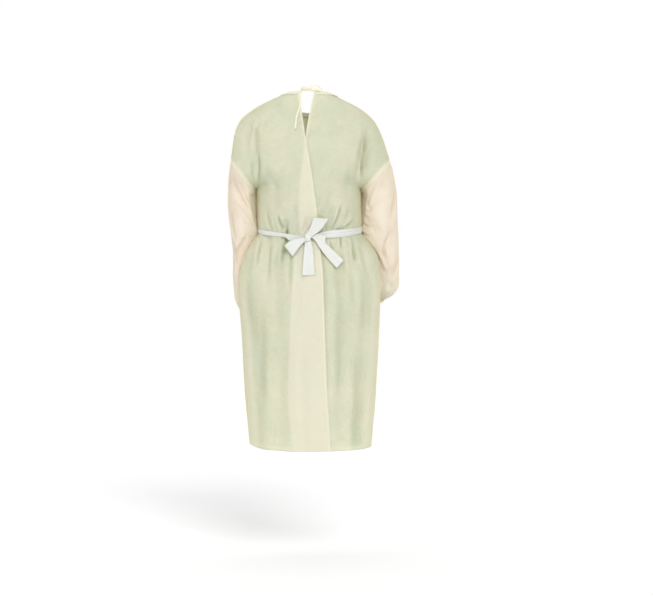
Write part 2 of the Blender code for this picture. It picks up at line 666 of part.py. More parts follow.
def loft_object(name, sections, closed, material, collection):
    """A solid through closed sections of one point count: a ring if closed, else with its ends capped."""
    sections = np.asarray(sections, dtype=float)
    rows, columns = sections.shape[:2]
    faces = grid_faces(rows, columns, True)
    if closed:
        for j in range(columns):
            k = (j + 1) % columns
            faces.append(((rows - 1) * columns + j, (rows - 1) * columns + k, k, j))
    else:
        faces.append(tuple(reversed(range(columns))))
        faces.append(tuple((rows - 1) * columns + j for j in range(columns)))
    return mesh_object(name, sections.reshape(-1, 3), faces, material, collection)


def mesh_object(name, vertices, faces, material, collection):
    mesh = bpy.data.meshes.new(name)
    mesh.from_pydata([tuple(p) for p in np.asarray(vertices) * MM], [], faces)
    mesh.update()
    make_outward(mesh)
    mesh.materials.append(material)
    mesh.shade_smooth()
    mesh.set_sharp_from_angle(angle=SHARP_ANGLE)
    piece = bpy.data.objects.new(name, mesh)
    collection.objects.link(piece)
    return piece


def make_outward(mesh):
    """Turns all the faces over where the closed mesh is inside out."""
    volume = 0.0
    for face in mesh.polygons:
        corners = [mesh.vertices[i].co for i in face.vertices]
        for b, c in zip(corners[1:], corners[2:]):
            volume += corners[0].dot(b.cross(c))
    if volume < 0:
        mesh.flip_normals()


# ---- what lies on the panels ----------------------------------------------------------------------
def lifted(face, t, level, out):
    """A point of the hull, moved out."""
    return body(face, t, level) + body_normal(face, t, level) * np.asarray(out)[..., None]


def make_belt(material, collection):
    """The tape round the waist, from the knot round the front and back to the knot."""
    edge_left = back_edge_t("over_x", np.array([WAIST_LEVEL]))[0]
    edge_right = back_edge_t("under_x", np.array([WAIST_LEVEL]))[0]
    share = np.linspace(0, 1, BACK_COLUMNS + 1)
    left = edge_left + (-1 - edge_left) * share
    right = edge_right + (1 - edge_right) * share
    start, end = solve_t(BACK, np.full(2, WAIST_LEVEL), np.array([KNOT_X - BELT_END, KNOT_X + BELT_END]))
    front = np.linspace(-1, 1, FRONT_COLUMNS + 1)[1:-1]
    path = [(BACK, start)] + [(BACK, t) for t in left if t < start - BELT_STEP_T]
    path += [(FRONT, t) for t in front]
    path += [(BACK, t) for t in right[::-1] if t > end + BELT_STEP_T] + [(BACK, end)]
    sections = []
    for face, t in path:
        near = ease(1 - abs(t)) if face == BACK else 0.0
        half = BELT_HALF_SIDE + (BELT_HALF_BACK - BELT_HALF_SIDE) * near
        levels = WAIST_LEVEL + half * np.array([1.0, 0.0, -1.0])
        inner = lifted(face, np.full(3, t), levels, np.full(3, BELT_GAP))
        walls = np.array([BELT_EDGE_WALL, BELT_WALL, BELT_EDGE_WALL])
        outer = lifted(face, np.full(3, t), levels, BELT_GAP + walls)
        sections.append(np.concatenate((inner, outer[::-1])))
    return loft_object("waist_belt", sections, False, material, collection)


def ribbon(name, one, two, wall, across, material, collection):
    """A flat tape between two edge lines, its wall set square to its middle line."""
    one, two = np.asarray(one, dtype=float), np.asarray(two, dtype=float)
    share = np.linspace(0, 1, across + 1)
    grid = one[:, None] + (two - one)[:, None] * share[None, :, None]
    normals = unit(np.cross(np.gradient(grid, axis=0), np.gradient(grid, axis=1)))
    sections = np.concatenate((grid + normals * wall / 2, (grid - normals * wall / 2)[:, ::-1]), axis=1)
    return loft_object(name, sections, False, material, collection)


def make_body_tape(name, rows, material, collection):
    """A tie that lies over the back, from the table of its two edges."""
    columns = {key: np.array([row[i] for row in rows], dtype=float) for i, key in enumerate(TAPE_COLUMNS)}
    edges = []
    for key in ("one", "two"):
        t, level = on_body(BACK, columns[key + "_x"], columns[key + "_z"])
        edges.append(lifted(BACK, t, level, columns["out"] + TAPE_GAP + TAPE_WALL / 2))
    return ribbon(name, edges[0], edges[1], TAPE_WALL, TAPE_ACROSS, material, collection)


def make_knot(name, centre, size, material, collection):
    """A tight knot as a rounded cushion."""
    bpy.ops.mesh.primitive_uv_sphere_add(segments=KNOT_SEGMENTS, ring_count=KNOT_RINGS, radius=MM)
    piece = bpy.context.object
    piece.name = name
    for vertex in piece.data.vertices:
        way = vertex.co.normalized()
        square = max(abs(way.x), abs(way.y), abs(way.z)) ** KNOT_SQUARENESS
        vertex.co = [way[i] / square * size[i] / 2 * MM for i in range(3)]
    piece.location = [value * MM for value in centre]
    piece.data.materials.append(material)
    piece.data.shade_smooth()
    for held in list(piece.users_collection):
        held.objects.unlink(piece)
    collection.objects.link(piece)
    return piece


def make_binding(shells, material, collection):
    """The tape folded over the neck's edge, from one back edge round the front to the other."""
    left, front, right = (shells[key] for key in ("back_panel_left", "front_panel", "back_panel_right"))
    path = [(left, j) for j in range(BACK_COLUMNS + 1)]
    path += [(front, j) for j in range(1, FRONT_COLUMNS)]
    path += [(right, j) for j in reversed(range(BACK_COLUMNS + 1))]
    gap, wall = BINDING_GAP, BINDING_WALL
    profile = ((gap, -BINDING_HEIGHT), (gap + wall, -BINDING_HEIGHT), (gap + wall, gap + wall / 2),
               (-WALL / 2, gap + wall), (-WALL - gap - wall, gap + wall / 2),
               (-WALL - gap - wall, -BINDING_HEIGHT), (-WALL - gap, -BINDING_HEIGHT),
               (-WALL - gap, gap), (gap, gap))
    sections = []
    for shell, j in path:
        here, lower = shell["points"][0, j], shell["points"][1, j]
        run = np.linalg.norm(here - lower)
        section = []
        for out, up in profile:
            share = max(0.0, -up / run)
            way = shell["wall_way"][0, j] * (1 - share) + shell["wall_way"][1, j] * share
            section.append(here + (here - lower) * up / run + way * out)
        sections.append(section)
    return loft_object("neck_binding", sections, False, material, collection)


def smooth_path(points):
    """A smooth curve through the points."""
    points = np.asarray(points, dtype=float)
    keys = np.arange(len(points))
    fine = np.linspace(0, len(points) - 1, (len(points) - 1) * TIE_STEPS + 1)
    columns = [Table(("key", "value"), np.stack([keys, points[:, i]], axis=1).tolist()).at("value", fine)
               for i in range(points.shape[1])]
    return np.stack(columns, axis=1)


def make_neck_tape(name, points, wide_way, material, collection):
    """A narrow tie along points, its width in a given direction."""
    line = smooth_path(points)
    run = unit(np.gradient(line, axis=0))
    wide = np.asarray(wide_way, dtype=float) * np.ones_like(line)
    wide = unit(wide - run * np.sum(wide * run, axis=1, keepdims=True)) * NECK_TAPE / 2
    return ribbon(name, line - wide, line + wide, TAPE_WALL, 1, material, collection)


def make_neck_ties(material, collection):
    make_knot("neck_tie_knot", NECK_KNOT, NECK_KNOT_SIZE, material, collection)
    make_neck_tape("neck_tie_loop", NECK_LOOP_POINTS, NECK_LOOP_WIDE, material, collection)
    make_neck_tape("neck_tie_strand", NECK_STRAND_POINTS, NECK_STRAND_WIDE, material, collection)
    flat = smooth_path(NECK_TAIL_POINTS)
    t, level = on_body(BACK, flat[:, 0], flat[:, 1])
    line = lifted(BACK, t, level, np.full(len(t), NECK_TAIL_OUT))
    line[:, 2] = flat[:, 1]
    half = np.array([NECK_TAPE / 2, 0, 0])
    ribbon("neck_tie_tail", line - half, line + half, TAPE_WALL, 1, material, collection)


def make_cuff(side, material, collection):
    """The gathered elastic cuff that goes on from the sleeve's end."""
    last = SLEEVE_ROWS[side][-1][0]
    count = CUFF_GATHERS * CUFF_SAMPLES_PER_GATHER
    turn = np.arange(count) * 2 * math.pi / count
    end = sleeve_point(side, turn, np.full(count, float(last)))
    before = sleeve_point(side, SLEEVE_TURNS, np.full(len(SLEEVE_TURNS), last - CUFF_LEAD))
    centre = end.mean(axis=0)
    way = unit(centre - before.mean(axis=0))
    spread = end - centre
    spread -= np.sum(spread * way, axis=1, keepdims=True) * way
    start = centre + way * (SEAM_GAP + max(0.0, np.max(np.sum((end - centre) * way, axis=1))))
    wave = CUFF_WAVE * np.cos(turn * CUFF_GATHERS)[:, None]
    rings = []
    for share in (0.0, 1.0):
        ring = start + way * CUFF_HEIGHT * share + spread + unit(spread) * (wave - CUFF_WAVE - CUFF_INSET)
        rings.append(ring)
    shell = make_shell(np.array(rings), True)
    if np.sum(shell["normals"] * unit(spread)[None]) < 0:
        shell["normals"] = -shell["normals"]
    shell["wall_way"] = shell["normals"]
    return shell_object("cuff_" + side, shell, WALL, material, collection)


def make_panels_and_sleeves(materials, collection):
    """The cut pieces of cloth, with their seams trimmed and their walls mitred to each other."""
    shells = {
        "front_panel": make_shell(front_grid(), False),
        "back_panel_left": make_shell(back_grid("left"), False),
        "back_panel_right": make_shell(back_grid("right"), False),
        "sleeve_left": make_shell(sleeve_grid("left"), True),
        "sleeve_right": make_shell(sleeve_grid("right"), True),
    }
    turn_outward(shells)
    share_normals(shells.values())
    for name, shell in shells.items():
        points, way = shell["points"], shell["wall_way"]
        if name.startswith("sleeve"):
            trim(points[0], points[1], way[0], True)
        else:
            trim(points[:, -1], points[:, -2], way[:, -1], False)
        if name == "front_panel":
            trim(points[:, 0], points[:, 1], way[:, 0], False)
    for name, shell in shells.items():
        material = materials["sleeve"] if name.startswith("sleeve") else materials["gown"]
        shell_object(name, shell, WALL, material, collection)
    return shells


def turn_outward(shells):
    """Points each piece's normals away from the inside of the body or of the sleeve."""
    for shell in shells.values():
        points = shell["points"]
        if shell["wrap"]:
            away = points - points.mean(axis=1, keepdims=True)
        else:
            away = points * np.array([1, 1, 0])
        if np.sum(away * shell["normals"]) < 0:
            shell["normals"] = -shell["normals"]


def make_material(name, colour, roughness):
    material = bpy.data.materials.new(name)
    material.use_nodes = True
    shader = material.node_tree.nodes["Principled BSDF"]
    shader.inputs["Base Color"].default_value = colour
    shader.inputs["Roughness"].default_value = roughness
    shader.inputs["Metallic"].default_value = 0.0
    material.diffuse_color = colour
    return material


def main():
    for held in list(bpy.data.objects):
        bpy.data.objects.remove(held, do_unlink=True)
    collection = bpy.data.collections.new(NAME)
    bpy.context.scene.collection.children.link(collection)
    materials = {
        "gown": make_material("gown_cloth", GOWN_COLOUR, CLOTH_ROUGHNESS),
        "sleeve": make_material("sleeve_cloth", SLEEVE_COLOUR, CLOTH_ROUGHNESS),
        "tape": make_material("waist_tape", TAPE_COLOUR, TAPE_ROUGHNESS),
        "neck": make_material("neck_tape", NECK_COLOUR, TAPE_ROUGHNESS),
    }
    shells = make_panels_and_sleeves(materials, collection)
    for side in ("left", "right"):
        make_cuff(side, materials["sleeve"], collection)
    make_belt(materials["tape"], collection)
    knot_t, knot_level = on_body(BACK, np.array([KNOT_X]), np.array([KNOT_Z]))
    knot = lifted(BACK, knot_t, knot_level, np.array([KNOT_OUT]))[0]
    make_knot("waist_knot", knot, KNOT_SIZE, materials["tape"], collection)
    make_body_tape("waist_loop_upper", LOOP_UPPER_ROWS, materials["tape"], collection)
    make_body_tape("waist_loop_left", LOOP_LEFT_ROWS, materials["tape"], collection)
    make_body_tape("waist_tail_centre", TAIL_CENTRE_ROWS, materials["tape"], collection)
    make_body_tape("waist_tail_right", TAIL_RIGHT_ROWS, materials["tape"], collection)
    make_binding(shells, materials["neck"], collection)
    make_neck_ties(materials["neck"], collection)


main()
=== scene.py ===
"""The looks of an isolation gown of thin yellow spunbond, worn and tied behind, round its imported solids.

Sizes are in millimetres in the solids' frame, and meshes are in metres: the gown's back faces -Y, the
wearer's right is +X, up is +Z, and the origin is midway between the neck ends of the shoulder seams.

The cloth follows the same rows, folds and ties as the solids, on a finer grid, with creases on top. A
row leaves the middle of the back or front and runs round to the side: to the shoulder seam above, the
armhole between, and the side seam below. Its level is 0 at the neck, the height of the side seam below
the underarm, and the way along the shoulder seam and round the armhole between them.
"""
import math

import bpy
import numpy as np
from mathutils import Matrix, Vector

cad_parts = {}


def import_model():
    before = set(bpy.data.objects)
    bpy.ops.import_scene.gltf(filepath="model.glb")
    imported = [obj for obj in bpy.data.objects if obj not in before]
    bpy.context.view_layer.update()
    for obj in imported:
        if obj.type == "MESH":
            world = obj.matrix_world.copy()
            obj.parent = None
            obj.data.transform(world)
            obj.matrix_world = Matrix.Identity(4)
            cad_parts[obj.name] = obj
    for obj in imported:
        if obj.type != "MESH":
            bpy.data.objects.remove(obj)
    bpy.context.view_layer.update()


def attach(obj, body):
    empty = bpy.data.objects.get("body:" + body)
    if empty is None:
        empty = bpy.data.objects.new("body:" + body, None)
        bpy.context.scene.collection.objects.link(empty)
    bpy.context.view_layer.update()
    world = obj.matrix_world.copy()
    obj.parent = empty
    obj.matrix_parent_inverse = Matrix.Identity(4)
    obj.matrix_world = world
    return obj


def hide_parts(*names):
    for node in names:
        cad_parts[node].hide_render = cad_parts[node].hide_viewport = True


MM = 0.001  # one millimetre in Blender's metres
SIGN = {"left": -1.0, "right": 1.0}
BACK, FRONT = -1.0, 1.0


# ---- arrays and tables ----
def ease(s):
    """0 below 0, 1 above 1, and a smooth rise between."""
    s = np.clip(s, 0.0, 1.0)
    return s * s * (3 - 2 * s)


def unit(vectors):
    return vectors / np.maximum(np.linalg.norm(vectors, axis=-1, keepdims=True), 1e-9)


def alike(*values):
    """The values as arrays of one shape."""
    return np.broadcast_arrays(*(np.asarray(value, dtype=float) for value in values))


def xyz(*coordinates):
    return np.stack(alike(*coordinates), axis=-1)


def circle(count):
    """Even turns, once round."""
    return np.arange(count) * 2 * math.pi / count


def closed(ring):
    """A ring of points with its first one again at its end."""
    return np.concatenate((ring, ring[:1]))


def run_lengths(points, axis, reverse=False):
    """Lengths from the first point along an axis of a grid, or from the last one."""
    total = np.cumsum(np.linalg.norm(np.diff(points, axis=axis), axis=-1), axis=axis)
    total = np.concatenate((np.zeros_like(np.take(total, [0], axis=axis)), total), axis=axis)
    return np.take(total, [-1], axis=axis) - total if reverse else total


def at_length(length, lengths, points):
    """The point, or points, at a length along a line of points."""
    return xyz(*(np.interp(length, lengths, points[:, k]) for k in range(3)))


class Table:
    """Named columns against the first one, joined by a smooth curve that doesn't overshoot its rows."""

    def __init__(self, names, rows):
        data = np.array(sorted(rows), dtype=float)
        self.key = data[:, 0]
        self.columns = dict(zip(names.split(), data.T))
        self.slopes = {name: self.slope(column) for name, column in self.columns.items()}

    def slope(self, column):
        """The harmonic mean of the steps on either side of each row, or 0 at a turning point."""
        step = np.diff(column) / np.diff(self.key)
        before, after = step[:-1], step[1:]
        total = before + after
        inside = np.where(before * after > 0, 2 * before * after / np.where(total == 0, 1, total), 0)
        return np.concatenate((step[:1], inside, step[-1:]))

    def at(self, names, key):
        """One column's value at a key, or a list of several columns' values."""
        key = np.clip(np.asarray(key, dtype=float), self.key[0], self.key[-1])
        low = np.clip(np.searchsorted(self.key, key, side="right") - 1, 0, len(self.key) - 2)
        span = self.key[low + 1] - self.key[low]
        s = (key - self.key[low]) / span
        found = []
        for name in names.split():
            column, slopes = self.columns[name], self.slopes[name]
            value = (1 + 2 * s) * (1 - s) ** 2 * column[low] + s * s * (3 - 2 * s) * column[low + 1]
            value += s * (1 - s) ** 2 * span * slopes[low] + s * s * (s - 1) * span * slopes[low + 1]
            found.append(value)
        return found if len(found) > 1 else found[0]


# ---- cloth ----
WALL = 1.2  # a solid panel's wall, and a solid tie's
LAP_GAP = 2.0  # between the two back panels where they overlap
LAP_PAST = 15.0  # how far past the over panel's edge the under panel stays in
LAP_RAMP = 45.0  # length over which it then comes back out to the surface
LAP_START = (-95.0, -150.0)  # heights between which the two panels come to lie on each other
CLOTH = 0.5  # the cloth itself
SHOULDER_COUNT, ARM_COUNT, SIDE_COUNT = 50, 44, 206  # rows of the grids
BACK_COUNT, FRONT_COUNT = 120, 160  # columns of the grids
SLEEVE_ROUND, SLEEVE_DOWN = 150, 150

# ---- levels ----
ARM_TOP_LEVEL = -205.0  # where the armhole begins, at the end of the shoulder seam
UNDERARM_LEVEL = -300.0  # where the armhole ends and the side seam begins
HEM_LEVEL = -1112.0
WAIST_LEVEL = -437.0  # the belt's line
T_STEP, LEVEL_STEP, TURN_STEP = 0.01, 1.0, 0.02  # small steps along a surface
HALVINGS = 26  # of a search along a row
HEIGHT_ROUNDS = 8  # of a search for the row at a height
SIDES_REACH, SIDES_COUNT = 160.0, 90  # the table of the body's half width

# The seam from the neck over the shoulder to the armhole, each side.
SHOULDER = Table("level left_x left_z right_x right_z", (
    (0, 84, 3, 78, 0), (-31, 125, -13, 112, -16), (-76, 182, -44, 166, -45), (-112, 221, -77, 202, -77),
    (-137, 237, -109, 221, -109), (-160, 244, -141, 234, -141), (ARM_TOP_LEVEL, 252, -205, 254, -207),
))
# The side seam from the underarm to the hem: half widths, and how far forward the widest line lies.
SIDE = Table("level left_x right_x side_y", (
    (UNDERARM_LEVEL, 172, 164, 0), (-350, 171, 164, 0), (-400, 168, 165, -4), (WAIST_LEVEL, 164, 164, -8),
    (-460, 178, 180, -14), (-485, 193, 199, -20), (-512, 206, 214, -25), (-565, 222, 221, -30),
    (-620, 225, 224, -30), (-760, 217, 220, -18), (-940, 208, 210, -4), (HEM_LEVEL, 193, 197, 0),
))
# How long a row keeps the height of its middle, and how far each seam is lifted at the hem.
HEM = Table("level height_hold left_lift right_lift", (
    (0, 0.5, 0, 0),
    (-940, 0.5, 0, 0),
    (HEM_LEVEL, 1.0, 5, -5),
))
# The middle of the back and of the front at each level, and how full the front is beside the arms.
MIDDLE = Table("level back_y back_z front_y front_z front_full", (
    (0, -65, 8, 85, -45, 0.55),
    (-60, -86, -42, 104, -80, 0.55),
    (-120, -106, -88, 118, -118, 0.55),
    (ARM_TOP_LEVEL, -124, -152, 127, -175, 0.55),
    (-250, -133, -216, 131, -237, 0.55),
    (UNDERARM_LEVEL, -137, -290, 133, -297, 0.55),
    (-350, -136, -352, 132, -350, 0.52),
    (-400, -130, -410, 128, -398, 0.48),
    (WAIST_LEVEL, -122, -458, 122, -432, 0.44),
    (-470, -130, -490, 127, -468, 0.40),
    (-520, -144, -532, 136, -520, 0.34),
    (-580, -152, -586, 144, -578, 0.30),
    (-700, -156, -705, 150, -700, 0.34),
    (-900, -152, -908, 152, -900, 0.48),
    (HEM_LEVEL, -146, -1124, 150, -1115, 0.52),
))
MIDDLE_FULL = 0.62  # how flat a row leaves the middle
BACK_FULL = 0.55  # how flat the back arrives at the side
ARM_REACH = 0.32  # how straight a row runs out to the middle of the armhole

# The free edges of the two back panels: how far to the right of the middle they lie.
BACK_EDGE = Table("z over_x under_x", (
    (20, -36, 18), (0, -34, 13), (-45, -27, 4), (-130, -14, -11), (-200, -2, -19), (-291, 12, -30),
    (-366, 22, -33), (-456, 30, -42), (-595, 44, -52), (-750, 48, -61), (-930, 55, -66), (-1125, 68, -52),
))

# ---- armholes and sleeves ----
ARMHOLE_BACK = 88.0  # how far the armhole reaches behind its middle
ARMHOLE_FRONT = 84.0
ARMHOLE_SAG = 5.0  # how far its middle hangs below a straight line
ARMHOLE_BULGE = 2.0  # and how far its middle lies outside that line
SAG_FADE = 60.0  # length of sleeve over which the sag fades away
# Down a sleeve: its outer and inner lines, its middle, its reach to the back and front, how much higher
# its front is than its middle, and how far its back turns outward, round the hip beside it.
SLEEVE_NAMES = "out_x out_z in_x in_z mid_y back front lift swing"
SLEEVE = {
    "left": Table("along " + SLEEVE_NAMES, (
        (0, 252, -205, 172, -300, 0, ARMHOLE_BACK, ARMHOLE_FRONT, 0, 0),
        (20, 257, -229, 170, -312, 6, 84, 81, 0, 0),
        (60, 262, -276, 160, -337, 14, 76, 73, 0, 0),
        (110, 264, -330, 156, -368, 20, 70, 68, 2, 0),
        (170, 260, -392, 154, -412, 30, 66, 64, 6, 2),
        (230, 253, -452, 158, -462, 42, 62, 61, 12, 6),
        (290, 246, -514, 180, -516, 57, 58, 62, 18, 12),
        (350, 246, -576, 176, -574, 82, 54, 60, 22, 14),
        (400, 246, -628, 168, -622, 101, 50, 56, 22, 12),
        (430, 239, -656, 164, -650, 112, 43, 47, 19, 8),
        (452, 229, -676, 164, -668, 119, 33, 35, 14, 2),
    )),
    "right": Table("along " + SLEEVE_NAMES, (
        (0, 254, -207, 164, -300, 0, ARMHOLE_BACK, ARMHOLE_FRONT, 0, 0),
        (20, 263, -229, 161, -312, 6, 85, 82, 0, 0),
        (60, 273, -276, 151, -337, 14, 78, 74, 0, 0),
        (110, 280, -330, 150, -368, 20, 73, 70, 2, 0),
        (170, 283, -392, 150, -412, 30, 69, 67, 6, 2),
        (230, 284, -452, 158, -462, 42, 65, 64, 12, 6),
        (290, 286, -514, 182, -516, 57, 62, 65, 18, 12),
        (350, 288, -570, 180, -566, 80, 58, 62, 22, 14),
        (385, 287, -598, 178, -589, 93, 55, 58, 22, 12),
        (410, 271, -618, 182, -608, 102, 45, 48, 19, 8),
        (432, 250, -630, 188, -625, 108, 33, 35, 14, 2),
    )),
}
SLEEVE_CROWDING = 0.35  # how much closer the rows lie at the armhole
SLEEVE_RADIUS = 65.0  # mean radius, which turns an angle into a length
SLEEVE_TOP_FADE = 30.0  # length at the armhole over which folds fade away
SLEEVE_END_FADE = 40.0  # the same at the cuff
SLEEVE_CLEARANCE = 0.6  # from a sleeve to the body beside it
CLEARANCE_SOFTNESS = 1.0  # rounding where a sleeve is kept clear
CLEARANCE_FADE = 20.0  # length at the armhole over which the clearance sets in
TOUCH = 0.6  # the least from a creased sleeve to the body
RIM_SLOPE, RIM_DEPTH, RIM_RAMP = 0.35, 4.0, 25.0  # how it falls away from the body's outermost line
CUFF_HEIGHT = 15.0
CUFF_INSET = 1.0  # how far inside the sleeve's end the cuff starts
CUFF_LEAD = 60.0  # length of sleeve that gives the cuff its direction
CUFF_ROUND, CUFF_DOWN = 248, 12
CUFF_SEAMS, CUFF_PITCH = (5, 9), 2.4  # rings of the cuff with elastic sewn in, and its stitches
CUFF_WAVE, CUFF_TWIST = 1.6, 0.02  # half the depth of a gather, and how far it turns down the cuff
CUFF_TUCK = -0.35  # share of the cuff's height that goes up inside the sleeve
CUFF_BANDS = 1  # rows of elastic
CUFF_PINCH = 0.55  # how far they flatten the gathers
GATHERS = 31  # at each cuff
GATHER_REACH = 74.0  # how far the gathers run up the sleeve
GATHER_DEPTH, GATHER_POWER = 2.6, 1.5  # and how they deepen towards the cuff
GATHER_SHIFTS = {"left": 0.4, "right": 2.1}

# ---- folds and creases ----
# A trough runs down a line from its top to its low end, in the plane seen from behind: top x and z, low x
# and z, width and depth.
BACK_FOLDS = (
    (188, -95, 164, -290, 14, 18),  # beside the right arm, from the shoulder blade down
    (170, -140, 146, -300, 11, 10),
    (-184, -80, -168, -290, 16, 15),  # beside the left arm
    (-208, -100, -200, -215, 10, 5),
    (-78, -385, -76, -530, 10, 12),  # the deep pucker that crosses the belt on the left
    (-128, -415, -150, -580, 14, 8),
    (-112, -450, -102, -800, 26, 13),  # soft folds that fall from the belt
    (-34, -470, -44, -760, 18, 7),
    (76, -355, 60, -455, 11, 9),  # creases above the belt on the right
    (110, -375, 84, -455, 10, 8),
    (96, -440, 104, -680, 15, 10),
    (128, -445, 152, -700, 16, 11),
    (166, -455, 196, -620, 13, 8),
    (-180, -600, -168, -1200, 24, 12),  # broad folds down to the hem
    (-96, -720, -92, -1220, 32, 12),
    (118, -660, 112, -1220, 32, 13),
    (182, -600, 166, -1200, 22, 11),
)
FRONT_FOLDS = (
    (180, -110, 152, -290, 19, 13), (-182, -110, -156, -290, 19, 12), (-60, -360, -54, -560, 12, 11),
    (-112, -375, -104, -660, 16, 10), (-20, -435, -26, -720, 17, 8), (48, -360, 52, -580, 13, 11),
    (92, -435, 106, -700, 16, 10), (138, -440, 150, -620, 14, 8), (-148, -600, -152, -1200, 24, 12),
    (-78, -680, -86, -1220, 30, 13), (4, -740, 8, -1220, 34, 10), (86, -680, 94, -1220, 30, 12),
    (152, -600, 154, -1200, 24, 11),
)
FOLD_FADE = 0.3  # share of a fold's length over which each end fades away
SIDE_FADE = 0.2  # share of a row beside a seam that folds leave alone
# A sleeve's trough, by ways round from the outer side over the back, in degrees, and lengths down the
# sleeve: top turn and length, low turn and length, width and depth.
SLEEVE_FOLDS = {
    "left": (
        (35, 30, 120, 150, 15, 7), (70, 150, 150, 240, 13, 6), (20, 230, 90, 330, 16, 6),
        (230, 60, 280, 230, 18, 7), (300, 240, 250, 360, 16, 7),
    ),
    "right": (
        (30, 190, 110, 300, 16, 7), (150, 40, 110, 140, 13, 6), (140, 130, 95, 215, 11, 5),
        (60, 300, 120, 380, 16, 6), (250, 60, 290, 240, 18, 7), (310, 260, 250, 370, 16, 7),
    ),
}
# Creases that only the looks have: a trough with a ridge beside it, by top x and z, low x and z, bow,
# width and depth. A negative depth raises a ridge, and a negative width puts its neighbour on the left.
BACK_CREASES = (
    (187, -112, 164, -292, 2, 3.8, 7.5),  # the two dark lines beside the right arm
    (172, -172, 158, -296, 4, -3.6, 5.5),
    (203, -150, 178, -262, -5, 5, 3.5),
    (-161, -68, -186, -190, -11, 4.5, -4.5),  # the light lines over the left shoulder blade
    (-146, -60, -166, -128, 5, 3.6, -2.2),
    (-166, -178, -163, -306, 3, 4.3, 6),  # where the left arm leaves the back
    (-186, -196, -170, -300, -5, 3.6, 3.5),
    (-99, -382, -75, -440, -7, 3.6, 8),  # the deep pucker at the belt
    (-74, -424, -76, -476, 0, 3.2, 8.5),
    (-76, -462, -89, -548, -3, 4.7, 7),
    (-136, -366, -112, -446, -5, 5, 4),
    (-37, -392, -38, -452, 2, 3.6, 4),
    (-9, -388, -24, -446, 2, 4.3, 3),
    (100, -346, 66, -442, 6, 4, 7.5),  # the fan of creases above the belt on the right
    (144, -396, 84, -438, 5, 4, 5.5),
    (124, -352, 98, -436, 4, 5, 3.5),
    (97, -450, 101, -492, 0, 2.9, 6),  # and the puckers under it
    (61, -458, 74, -520, 2, 3.6, 5),
    (132, -448, 146, -540, 3, 4.3, 5),
    (-150, -448, -166, -560, -4, 4.3, 5),
    (-122, -450, -128, -620, -4, 5, 4.5),
    (-52, -462, -58, -640, -3, 5.8, 4),
    (40, -500, 52, -700, 3, 9, 2.4),
    (156, -520, 172, -760, 6, 10, 2.8),
    (-188, -560, -186, -820, -6, 10, 2.8),
    (-140, -640, -136, -1000, -8, 12, 2.8),
    (84, -620, 92, -1010, 8, 12, 2.8),
    (-20, -760, -14, -1160, 6, 12, 2.4),
    (146, -800, 142, -1160, 6, 11, 2.4),
)
FRONT_CREASES = (
    (184, -116, 158, -300, 6, 6.0, 4.2), (166, -180, 150, -300, 4, -5.0, 3.1),
    (-186, -112, -160, -298, -6, 6.0, 4.2), (-168, -170, -152, -300, -4, -5.0, 3.1),
    (-70, -352, -54, -440, -4, 5.0, 4.9), (-112, -366, -98, -440, -4, 6.0, 3.5),
    (52, -356, 46, -444, 3, 5.0, 4.5), (118, -370, 96, -440, 5, 6.0, 3.5),
    (-52, -436, -66, -560, -3, 6.0, 4.2), (-118, -440, -132, -600, -4, 7.0, 3.5),
    (6, -440, 2, -600, 3, 7.0, 3.1), (60, -438, 70, -600, 3, 6.0, 3.8), (126, -440, 142, -620, 5, 7.0, 3.5),
    (-150, -620, -146, -980, -8, 12.0, 2.8), (-40, -640, -36, -1060, 8, 12.0, 2.8),
    (62, -700, 60, -1140, -8, 12.0, 2.8), (160, -600, 166, -900, 6, 11.0, 2.8),
)
# Down and round a sleeve, as its folds, with a bow.
SLEEVE_CREASES = {
    "left": (
        (60, 100, 150, 202, 8, 4.5, -6.5),  # the diagonal line across the back of the elbow
        (84, 60, 150, 150, 5, 6, 5.0), (30, 120, 60, 240, -6, 8, 4.0), (110, 196, 40, 280, 5, 7, 4.5),
        (150, 250, 80, 330, 5, 8, 4.0), (15, 300, 70, 400, 5, 8, 4.0), (200, 70, 240, 180, 5, 7, 4.5),
        (300, 40, 250, 150, 6, 7, 4.5), (330, 170, 270, 270, 6, 8, 4.5), (210, 200, 260, 300, 6, 8, 4.5),
        (300, 300, 240, 390, 6, 8, 4.0),
    ),
    "right": (
        (50, 196, 104, 290, 5, 6, 5.5),  # the long crease down the forearm
        (150, 84, 120, 130, 3, 5, 4.5),  # crinkles inside the elbow
        (158, 118, 122, 158, 3, 4.5, -4.5), (150, 150, 112, 186, 3, 5, 4.5),
        (156, 186, 116, 214, 3, 4.5, 4.0), (25, 60, 60, 180, -6, 8, 4.0), (90, 30, 130, 110, 4, 7, 4.0),
        (20, 270, 80, 360, 5, 8, 4.5), (130, 240, 90, 340, 5, 8, 4.0), (210, 80, 250, 190, 5, 7, 4.5),
        (310, 50, 260, 160, 6, 7, 4.5), (330, 190, 280, 280, 6, 8, 4.5), (200, 210, 255, 300, 6, 8, 4.5),
        (300, 290, 250, 370, 6, 8, 4.0),
    ),
}
# Zones of lesser creases, scattered with a fixed seed: where their middles lie (low x, high x, low z,
# high z), how they lean from the vertical in degrees, by how much that varies and how they fan out to the
# sides, their count, and their mean length, width and depth.
BACK_ZONES = (
    (-190, 190, -190, -30, 0, 70, 0, 16, 80, 9, 0.9),  # shoulder blades
    (-160, -60, -330, -210, -30, 25, 0, 6, 90, 9, 0.6),  # towards the left underarm
    (60, 160, -330, -210, 30, 25, 0, 6, 90, 9, 0.6),  # towards the right underarm
    (-150, 150, -400, -260, 0, 22, -20, 14, 95, 9, 1.6),  # the small of the back
    (-155, 155, -456, -420, 0, 12, 0, 13, 62, 4.5, 2.2),  # gathers at the belt
    (-180, 180, -540, -480, 0, 10, 24, 14, 100, 7, 1.6),  # below the belt
    (-190, 190, -1090, -600, 0, 7, 0, 18, 230, 14, 1.0),  # the skirt's length
    (-200, 200, -1100, -40, 0, 90, 0, 90, 42, 4.0, 0.7),  # crinkles all over
)
